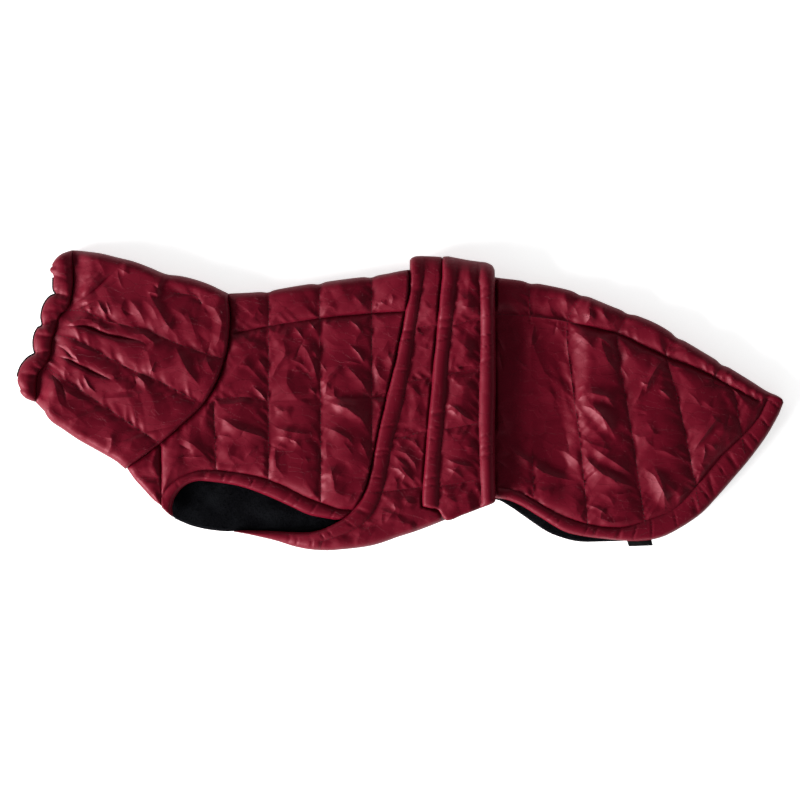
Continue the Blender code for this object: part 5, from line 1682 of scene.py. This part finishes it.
@dataclass(frozen=True)
class NylonTaffeta(Finish):
    """Down-proof nylon taffeta, dyed burgundy, woven fine and calendered on one face.

    The calendering gives the satin shine; the fine weave holds sharp little creases. Its threads are
    0.2 mm apart, too fine to show, so they are drawn as faint bands 4.4 mm apart.
    """

    name: str = "nylon_taffeta_burgundy"
    colour: str = "#590518"
    deep: str = "#500313"
    shine: str = "#e0929e"  # of its highlights
    ior: float = 1.53
    specular: float = 0.26
    roughness: Pair = (0.42, 0.54)
    shades: float = 14.0  # darker and lighter patches in a metre
    wear: float = 30.0  # and duller and shinier ones
    unevenness: float = 0.4  # of the weave's bands
    thread: float = 0.7  # mm; a band of the weave is 2 pi of it wide
    weave_depth: Pair = (0.06, 0.2)  # its strength, and its height, mm
    wander: float = 4.0  # how far the creases stray from straight, mm
    bends: float = 60.0  # their bends in a metre
    crinkle: float = 17.0  # size of the flat facets between its sharp creases, mm
    crinkle_depth: float = 1.8  # height of a facet that is one crinkle long and tilted fully, mm
    small: Pair = (0.45, 0.3)  # size and height of the small facets, as shares
    breadth: float = 0.6  # of a facet, as a share of its length
    slant: float = 0.6  # way in which they lie, in radians

    def facet(self, add: AddNode, place: Node, size: float, depth: float) -> Node:
        """Adds flat facets, each tilted its own way, with sharp creases between them.

        Args:
            add: Adds a node to the material's tree.
            place: The coordinates, in metres.
            size: The facets' size, mm.
            depth: Their height's share.

        Returns:
            Their height.
        """
        scale = (self.breadth * PER_METRE / size, PER_METRE / size, PER_METRE / size)
        turned = {"Vector": place, "Rotation": (0.0, 0.0, self.slant), "Scale": scale}
        stretched = add("ShaderNodeMapping", turned)
        cells = add("ShaderNodeTexVoronoi", {"Vector": stretched, "Scale": 1.0})
        way, middle = cells.outputs["Color"], cells.outputs["Position"]
        tilt = add("ShaderNodeVectorMath", {0: way, 1: (0.5, 0.5, 0.5)}, operation="SUBTRACT")
        offset = add("ShaderNodeVectorMath", {0: stretched, 1: middle}, operation="SUBTRACT")
        height = add("ShaderNodeVectorMath", {0: tilt, 1: offset}, operation="DOT_PRODUCT")
        return add("ShaderNodeMath", {0: height.outputs["Value"], 1: depth}, operation="MULTIPLY")

    def surface(self, add: AddNode, place: NodeSocket) -> Inputs:
        """Adds the finish's nodes and returns the surface's inputs."""
        cloudy = {"Vector": place, "Scale": self.shades, "Detail": 3.0}
        tint = add("ShaderNodeTexNoise", cloudy).outputs["Fac"]
        dyed = {"Factor": tint, "A": linear(self.deep), "B": linear(self.colour)}
        colour = add("ShaderNodeMix", dyed, data_type="RGBA")
        bends = {"Vector": place, "Scale": self.bends, "Detail": 2.0}
        stray = {0: add("ShaderNodeTexNoise", bends).outputs["Color"], 1: (self.wander * MM,) * 3}
        bent = add("ShaderNodeVectorMath", stray, operation="MULTIPLY")
        shifted = add("ShaderNodeVectorMath", {0: place, 1: bent}, operation="ADD")
        large = self.facet(add, shifted, self.crinkle, 1.0)
        small = self.facet(add, shifted, self.small[0] * self.crinkle, self.small[1])
        crinkles = add("ShaderNodeMath", {0: large, 1: small}, operation="ADD")
        patches = {"Vector": place, "Scale": self.wear, "Detail": 2.0}
        bands = {"Vector": place, "Scale": BAND_SCALE / self.thread, "Distortion": self.unevenness}
        warp_yarn, weft_yarn = (
            add("ShaderNodeTexWave", bands, wave_type="BANDS", bands_direction=way).outputs["Fac"]
            for way in "XY"
        )
        weave = add("ShaderNodeMath", {0: warp_yarn, 1: weft_yarn}, operation="MULTIPLY")
        strength, height = self.weave_depth
        fine = add("ShaderNodeBump", {"Height": weave, "Strength": strength, "Distance": height * MM})
        folded = {"Height": crinkles, "Strength": 1.0, "Distance": self.crinkle_depth * MM, "Normal": fine}
        least, most = self.roughness
        wear = add("ShaderNodeTexNoise", patches).outputs["Fac"]
        worn = {"Value": wear, "To Min": least, "To Max": most}
        return {
            "Base Color": colour.outputs["Result"],
            "Roughness": add("ShaderNodeMapRange", worn),
            "IOR": self.ior,
            "Specular IOR Level": self.specular,
            "Specular Tint": linear(self.shine),
            "Normal": add("ShaderNodeBump", folded),
        }


@dataclass(frozen=True)
class PolarFleece(Finish):
    """Polar fleece: knitted polyester, brushed to a short pile, so it is matt with a faint grey bloom."""

    name: str = "polar_fleece_black"
    colour: str = "#000003"
    bloom: str = "#08090d"
    pile: float = 1.4  # size of the tufts, mm
    brushed: float = 42.0  # patches brushed one way in a metre
    bloomed: Pair = (0.4, 0.66)  # how much they are brushed where the bloom begins and is full
    roughness: float = 0.95
    specular: float = 0.1
    tuft_depth: Pair = (0.6, 0.8)  # their strength, and their height, mm

    def surface(self, add: AddNode, place: NodeSocket) -> Inputs:
        """Adds the finish's nodes and returns the surface's inputs."""
        fine = {"Vector": place, "Scale": PER_METRE / self.pile, "Detail": 3.0}
        tufts = add("ShaderNodeTexNoise", fine).outputs["Fac"]
        brushed = add("ShaderNodeTexNoise", fine | {"Scale": self.brushed}).outputs["Fac"]
        least, most = self.bloomed
        bloom = add("ShaderNodeMapRange", {"Value": brushed, "From Min": least, "From Max": most})
        shades = {"Factor": bloom, "A": linear(self.colour), "B": linear(self.bloom)}
        raised = add("ShaderNodeMath", {0: tufts, 1: brushed}, operation="ADD")
        strength, height = self.tuft_depth
        bumps = {"Height": raised, "Strength": strength, "Distance": height * MM}
        return {
            "Base Color": add("ShaderNodeMix", shades, data_type="RGBA").outputs["Result"],
            "Roughness": self.roughness,
            "Specular IOR Level": self.specular,
            "Normal": add("ShaderNodeBump", bumps),
        }


@dataclass(frozen=True)
class SpunThread(Finish):
    """Spun polyester thread or tape: dull, with the twist of its strands, and painted shade between them."""

    colour: str
    roughness: float = 0.6
    twist: float = 0.5  # mm; the strands are too fine to show, and are drawn 7 times as far apart
    specular: float = 0.3
    shade: float = 0.6  # brightness of the painted shade between the strands
    strand_depth: Pair = (0.3, 0.2)  # their strength, and their height, mm

    def surface(self, add: AddNode, place: NodeSocket) -> Inputs:
        """Adds the finish's nodes and returns the surface's inputs."""
        bands = {"Vector": place, "Scale": BAND_SCALE / self.twist, "Distortion": 1.0}
        strands = add("ShaderNodeTexWave", bands, wave_type="BANDS", bands_direction="DIAGONAL")
        twist = strands.outputs["Fac"]
        light = linear(self.colour)
        # painted shade: the bands between the strands are drawn darker than the thread's own colour
        painted_groove_shade = tuple(self.shade * part for part in light[:3]) + (1.0,)
        tint = add("ShaderNodeMix", {"Factor": twist, "A": light, "B": painted_groove_shade}, data_type="RGBA")
        strength, height = self.strand_depth
        bumps = {"Height": twist, "Strength": strength, "Distance": height * MM}
        return {
            "Base Color": tint.outputs["Result"],
            "Roughness": self.roughness,
            "Specular IOR Level": self.specular,
            "Normal": add("ShaderNodeBump", bumps),
        }


@dataclass(frozen=True)
class WhiteBoard(Finish):
    """Matt white board with a faint mottle, lit from below a little, which keeps shadows pale."""

    name: str = "white_board"
    colour: str = "#fbfbfb"
    shade: str = "#f6f6f6"
    spots: float = 6.0  # in a metre
    roughness: float = 0.9
    glow: float = 0.6

    def surface(self, add: AddNode, place: NodeSocket) -> Inputs:
        """Adds the finish's nodes and returns the surface's inputs."""
        mottle = add("ShaderNodeTexNoise", {"Vector": place, "Scale": self.spots}).outputs["Fac"]
        shades = {"Factor": mottle, "A": linear(self.shade), "B": linear(self.colour)}
        return {
            "Base Color": add("ShaderNodeMix", shades, data_type="RGBA").outputs["Result"],
            "Roughness": self.roughness,
            "Emission Color": WHITE,
            "Emission Strength": self.glow,
        }


# --- stitches and pile
def new_tree(name: str, sizes: dict[str, float]) -> tuple[NodeTree, Sequence[NodeSocket]]:
    """A geometry tree with a size for each name given, and the outputs of its group input."""
    tree = bpy.data.node_groups.new(name, "GeometryNodeTree")
    tree.interface.new_socket("Geometry", in_out="INPUT", socket_type="NodeSocketGeometry")
    for title, size in sizes.items():
        socket = tree.interface.new_socket(title, in_out="INPUT", socket_type="NodeSocketFloat")
        socket.default_value = size
    tree.interface.new_socket("Geometry", in_out="OUTPUT", socket_type="NodeSocketGeometry")
    return tree, add_node(tree, "NodeGroupInput").outputs


def end_tree(tree: NodeTree, repeated: Node, material: Material) -> NodeTree:
    """Makes what a tree repeats real, dresses it in a material and ends the tree with it."""
    real = add_node(tree, "GeometryNodeRealizeInstances", {"Geometry": repeated})
    dressed = add_node(tree, "GeometryNodeSetMaterial", {"Geometry": real, "Material": material})
    add_node(tree, "NodeGroupOutput", {"Geometry": dressed})
    return tree


def grow(base: Object, name: str, tree: NodeTree, title: str, size: float) -> None:
    """Runs a tree on an object and keeps what it makes, as a plain mesh object on the coat's body.

    Args:
        base: The object that the tree starts from, which is removed.
        name: The new object's name.
        tree: The tree.
        title: The tree's input to set.
        size: Its value.
    """
    modifier = base.modifiers.new(tree.name, "NODES")
    modifier.node_group = tree
    modifier[next(item.identifier for item in tree.interface.items_tree if item.name == title)] = size
    mesh = bpy.data.meshes.new_from_object(base.evaluated_get(bpy.context.evaluated_depsgraph_get()))
    bpy.data.objects.remove(base, do_unlink=True)
    made = placed(name, mesh)
    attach(made, "root")
    log.info("%s: %d faces", name, len(mesh.polygons))


@dataclass(frozen=True)
class Stitching:
    """A row of machine stitches along lines, each a short, slightly sunk stretch of thread; in mm."""

    pitch: float = 3.6  # from one stitch to the next
    length: float = 2.7
    thread: float = 0.36
    path_step: float = 1.2
    lift: float = 0.15  # of a stitch's middle over the cloth, as a share of the thread

    def tree(self, thread: Material) -> NodeTree:
        """The node tree that lays one stitch at each step along a mesh's edges."""
        sizes = {"Pitch": self.pitch, "Stitch length": self.length, "Thread": self.thread}
        tree, given = new_tree("machine_stitches", {title: size * MM for title, size in sizes.items()})
        add = partial(add_node, tree)
        curve = add("GeometryNodeMeshToCurve", {"Mesh": given["Geometry"]})
        steps = {"Curve": curve, "Length": given["Pitch"]}
        points = add("GeometryNodeCurveToPoints", steps, mode="LENGTH").outputs
        along = add("FunctionNodeAlignRotationToVector", {"Vector": points["Tangent"]}, axis="X")
        thick = given["Thread"]
        size = add("ShaderNodeCombineXYZ", {"X": given["Stitch length"], "Y": thick, "Z": thick})
        bead = add("GeometryNodeMeshUVSphere", {"Segments": 6, "Rings": 4, "Radius": 0.5})
        laid = {"Points": points["Points"], "Instance": bead, "Rotation": along, "Scale": size}
        return end_tree(tree, add("GeometryNodeInstanceOnPoints", laid), thread)

    def sew(self, name: str, cloth: Object, lines: Sequence[Rows], tree: NodeTree) -> None:
        """Sews lines onto the top of a piece.

        Args:
            name: The name of the row of stitches.
            cloth: The piece that they are sewn on.
            lines: The lines in the plan, in millimetres.
            tree: The tree that lays the stitches.
        """
        points: list[tuple[float, float, float]] = []
        edges: list[tuple[int, int]] = []
        down = Vector((0, 0, -1))
        for line in lines:
            last = None
            for x, y in smooth(line, self.path_step):
                hit, place, _, _ = cloth.ray_cast(Vector((x * MM, y * MM, ABOVE_ALL)), down)
                if not hit:
                    last = None
                    continue
                points.append((place.x, place.y, place.z + self.lift * self.thread * MM))
                if last is not None:
                    edges.append((last, len(points) - 1))
                last = len(points) - 1
        mesh = bpy.data.meshes.new(name)
        mesh.from_pydata(points, edges, [])
        grow(placed(name + "_path", mesh), name, tree, "Pitch", self.pitch * MM)


@dataclass(frozen=True)
class Pile:
    """The brushed pile of the fleece: short tufts that lean every way; in mm."""

    per_square_mm: float = 0.55
    height: float = 1.3
    width: float = 0.5
    spread: Pair = (0.6, 1.2)  # of the tufts' sizes
    lean: tuple[float, float, float] = (1.0, 1.0, 3.1)  # most that they turn about each axis, in radians
    least_up: float = 0.4  # of the normals of the faces that carry them
    seed: int = 7

    def tree(self, fleece: Material) -> NodeTree:
        """The node tree that sets tufts on a mesh's faces."""
        tree, given = new_tree("brushed_pile", {"Density": self.per_square_mm / MM**2})
        add = partial(add_node, tree)
        upward = add("ShaderNodeSeparateXYZ", {"Vector": add("GeometryNodeInputNormal")}).outputs["Z"]
        kept = {"data_type": "FLOAT", "operation": "GREATER_THAN"}
        on_top = add("FunctionNodeCompare", {0: upward, 1: self.least_up}, **kept)
        ground = {"Mesh": given["Geometry"], "Selection": on_top}
        scattered = ground | {"Density": given["Density"], "Seed": self.seed}
        points = add("GeometryNodeDistributePointsOnFaces", scattered)
        ways = {"Min": tuple(-most for most in self.lean), "Max": self.lean, "Seed": self.seed}
        lean = add("FunctionNodeRandomValue", ways, data_type="FLOAT_VECTOR")
        least, most = self.spread
        sizes = {2: least, 3: most, "Seed": self.seed + 1}
        size = add("FunctionNodeRandomValue", sizes, data_type="FLOAT").outputs[1]
        foot = {"Vertices": 3, "Radius Top": 0.0, "Radius Bottom": self.width / 2 * MM}
        tuft = add("GeometryNodeMeshCone", foot | {"Depth": self.height * MM}, fill_type="NONE")
        turn = add("FunctionNodeEulerToRotation", {0: lean})
        laid = {"Points": points, "Instance": tuft, "Rotation": turn, "Scale": size}
        return end_tree(tree, add("GeometryNodeInstanceOnPoints", laid), fleece)

    def brush(self, name: str, cloth: Object, tree: NodeTree) -> None:
        """Raises the pile on the top of a piece of fleece."""
        grow(placed(name + "_base", cloth.data.copy()), name, tree, "Density", self.per_square_mm / MM**2)


# --- studio
@dataclass
class Studio:
    """A pale floor, one broad soft light low at the left in a bright room, and a camera straight above."""

    frame_width: float = 0.768  # metres across the picture
    lens: float = 180.0
    sensor: float = 36.0
    focus_level: float = 0.008  # height of the coat's outline
    key_power: float = 600.0
    key_width: float = 2.7
    key_height: float = 1.2
    key_place: tuple[float, float, float] = (-3.6, -2.11, 1.2)
    zenith: float = 0.1  # brightness of the room straight above
    horizon: float = 2.1
    falling: float = 2.0  # how sharply it falls from the horizon to the zenith
    left_bias: float = 0.45  # how much brighter the room is at the left than at the middle
    floor_half: float = 6.0
    floor_drop: float = 0.0003  # of the floor below the coat, which keeps the two faces apart

    def build(self) -> None:
        """Makes the floor, the lights and the camera."""
        self.floor()
        self.key()
        self.room()
        bpy.context.scene.view_settings.view_transform = "Standard"
        camera = bpy.data.cameras.new("camera")
        camera.lens, camera.sensor_width = self.lens, self.sensor
        distance = self.frame_width * self.lens / self.sensor
        holder = placed("camera", camera)
        holder.location = (0.0, 0.0, self.focus_level + distance)
        bpy.context.scene.camera = holder

    def room(self) -> None:
        """Adds the room's own light: dim above, bright around, brightest at the left."""
        world = bpy.data.worlds.new("studio")
        world.use_nodes = True
        world.node_tree.nodes.clear()
        add = partial(add_node, world.node_tree)
        direction = add("ShaderNodeTexCoord").outputs["Generated"]
        axes = add("ShaderNodeSeparateXYZ", {"Vector": direction}).outputs
        low = add("ShaderNodeMath", {0: 1.0, 1: axes["Z"]}, operation="SUBTRACT", use_clamp=True)
        falling = add("ShaderNodeMath", {0: low, 1: self.falling}, operation="POWER")
        side = add("ShaderNodeMath", {0: axes["X"], 1: -self.left_bias, 2: 1.0}, operation="MULTIPLY_ADD")
        around = add("ShaderNodeMath", {0: falling, 1: side}, operation="MULTIPLY")
        light = {0: around, 1: self.horizon, 2: self.zenith}
        strength = add("ShaderNodeMath", light, operation="MULTIPLY_ADD")
        sky = add("ShaderNodeBackground", {"Color": WHITE, "Strength": strength})
        add("ShaderNodeOutputWorld", {"Surface": sky})
        bpy.context.scene.world = world

    def key(self) -> None:
        """Adds a broad softbox that looks at the coat."""
        lamp = bpy.data.lights.new("key_softbox", "AREA")
        lamp.shape = "RECTANGLE"
        lamp.energy, lamp.size, lamp.size_y = self.key_power, self.key_width, self.key_height
        holder = placed("key_softbox", lamp)
        holder.location = self.key_place
        holder.rotation_mode = "QUATERNION"
        holder.rotation_quaternion = (-Vector(self.key_place)).to_track_quat("-Z", "Y")

    def floor(self) -> None:
        """Adds the floor."""
        mesh = bpy.data.meshes.new("floor")
        corners = [(-1, -1), (1, -1), (1, 1), (-1, 1)]
        rows = [(x * self.floor_half, y * self.floor_half, -self.floor_drop) for x, y in corners]
        mesh.from_pydata(rows, [], [(0, 1, 2, 3)])
        mesh.materials.append(WhiteBoard().build())
        placed("floor", mesh)


# --- the coat
def coat_pieces() -> list[Piece]:
    """The coat's pieces, each with what it was cut from."""
    lining = {"slot": Slot.FLEECE}
    return [
        BackPanel("back_panel", (0.61, 0.50), 0.235, held="folded"),
        Collar("collar", (0.20, 0.36), 0.060, held="gathered"),
        CollarHem("collar_casing", (0.05, 0.31), 0.009, held="gathered"),
        ChestPanel("chest_panel", (0.06, 0.10), 0.0035, held="folded"),
        BellyPanel("belly_panel", (0.32, 0.08), 0.016),
        NearWing("belly_wing_near", (0.26, 0.30), 0.030, held="folded", rests_on=("back_panel_cloth",)),
        FarWing("belly_wing_far", (0.17, 0.45), 0.035, held="folded", rests_on=("belly_wing_near_cloth",)),
        BellyLining("lining_belly", (0.16, 0.05), 0.0055, rests_on=("belly_panel_cloth",), **lining),
        TailLining("lining_tail", (0.125, 0.04), 0.0018, rests_on=("back_panel_cloth",), **lining),
        MouthLining("lining_mouth", (0.13, 0.02), 0.0009, rests_on=("collar_casing_cloth",), **lining),
        SideLabel("side_label", (0.0195, 0.025), 0.00047, slot=Slot.TAPE, rests_on=("back_panel_cloth",)),
    ]


SEAMS = {
    "back_panel": SEWN_BODY,
    "collar": QUILT_COLLAR,
    "chest_panel": QUILT_CHEST,
    "belly_wing_near": SEWN_WING,
    "belly_wing_far": SEWN_BELT,
}


def main() -> None:
    """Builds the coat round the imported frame."""
    logging.basicConfig(level=logging.INFO, format="%(name)s: %(message)s")
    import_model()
    nylon, fleece = NylonTaffeta().build(), PolarFleece().build()
    thread = SpunThread("polyester_thread_burgundy", "#3e0812").build()
    tape = SpunThread("woven_tape_black", "#030304", 0.8, 0.6, 0.15).build()
    skins = {Slot.NYLON: (nylon, fleece), Slot.FLEECE: (fleece, fleece), Slot.TAPE: (tape, tape)}
    made = {piece.name: piece.make(skins[piece.slot]) for piece in coat_pieces()}
    bpy.context.view_layer.update()
    stitching, pile = Stitching(), Pile()
    stitch_tree, pile_tree = stitching.tree(thread), pile.tree(fleece)
    for name, lines in SEAMS.items():
        stitching.sew(name + "_stitches", made[name], lines, stitch_tree)
    for name in ("lining_belly", "lining_tail"):
        pile.brush(name + "_pile", made[name], pile_tree)
    Studio().build()


if __name__ == "__main__":
    main()
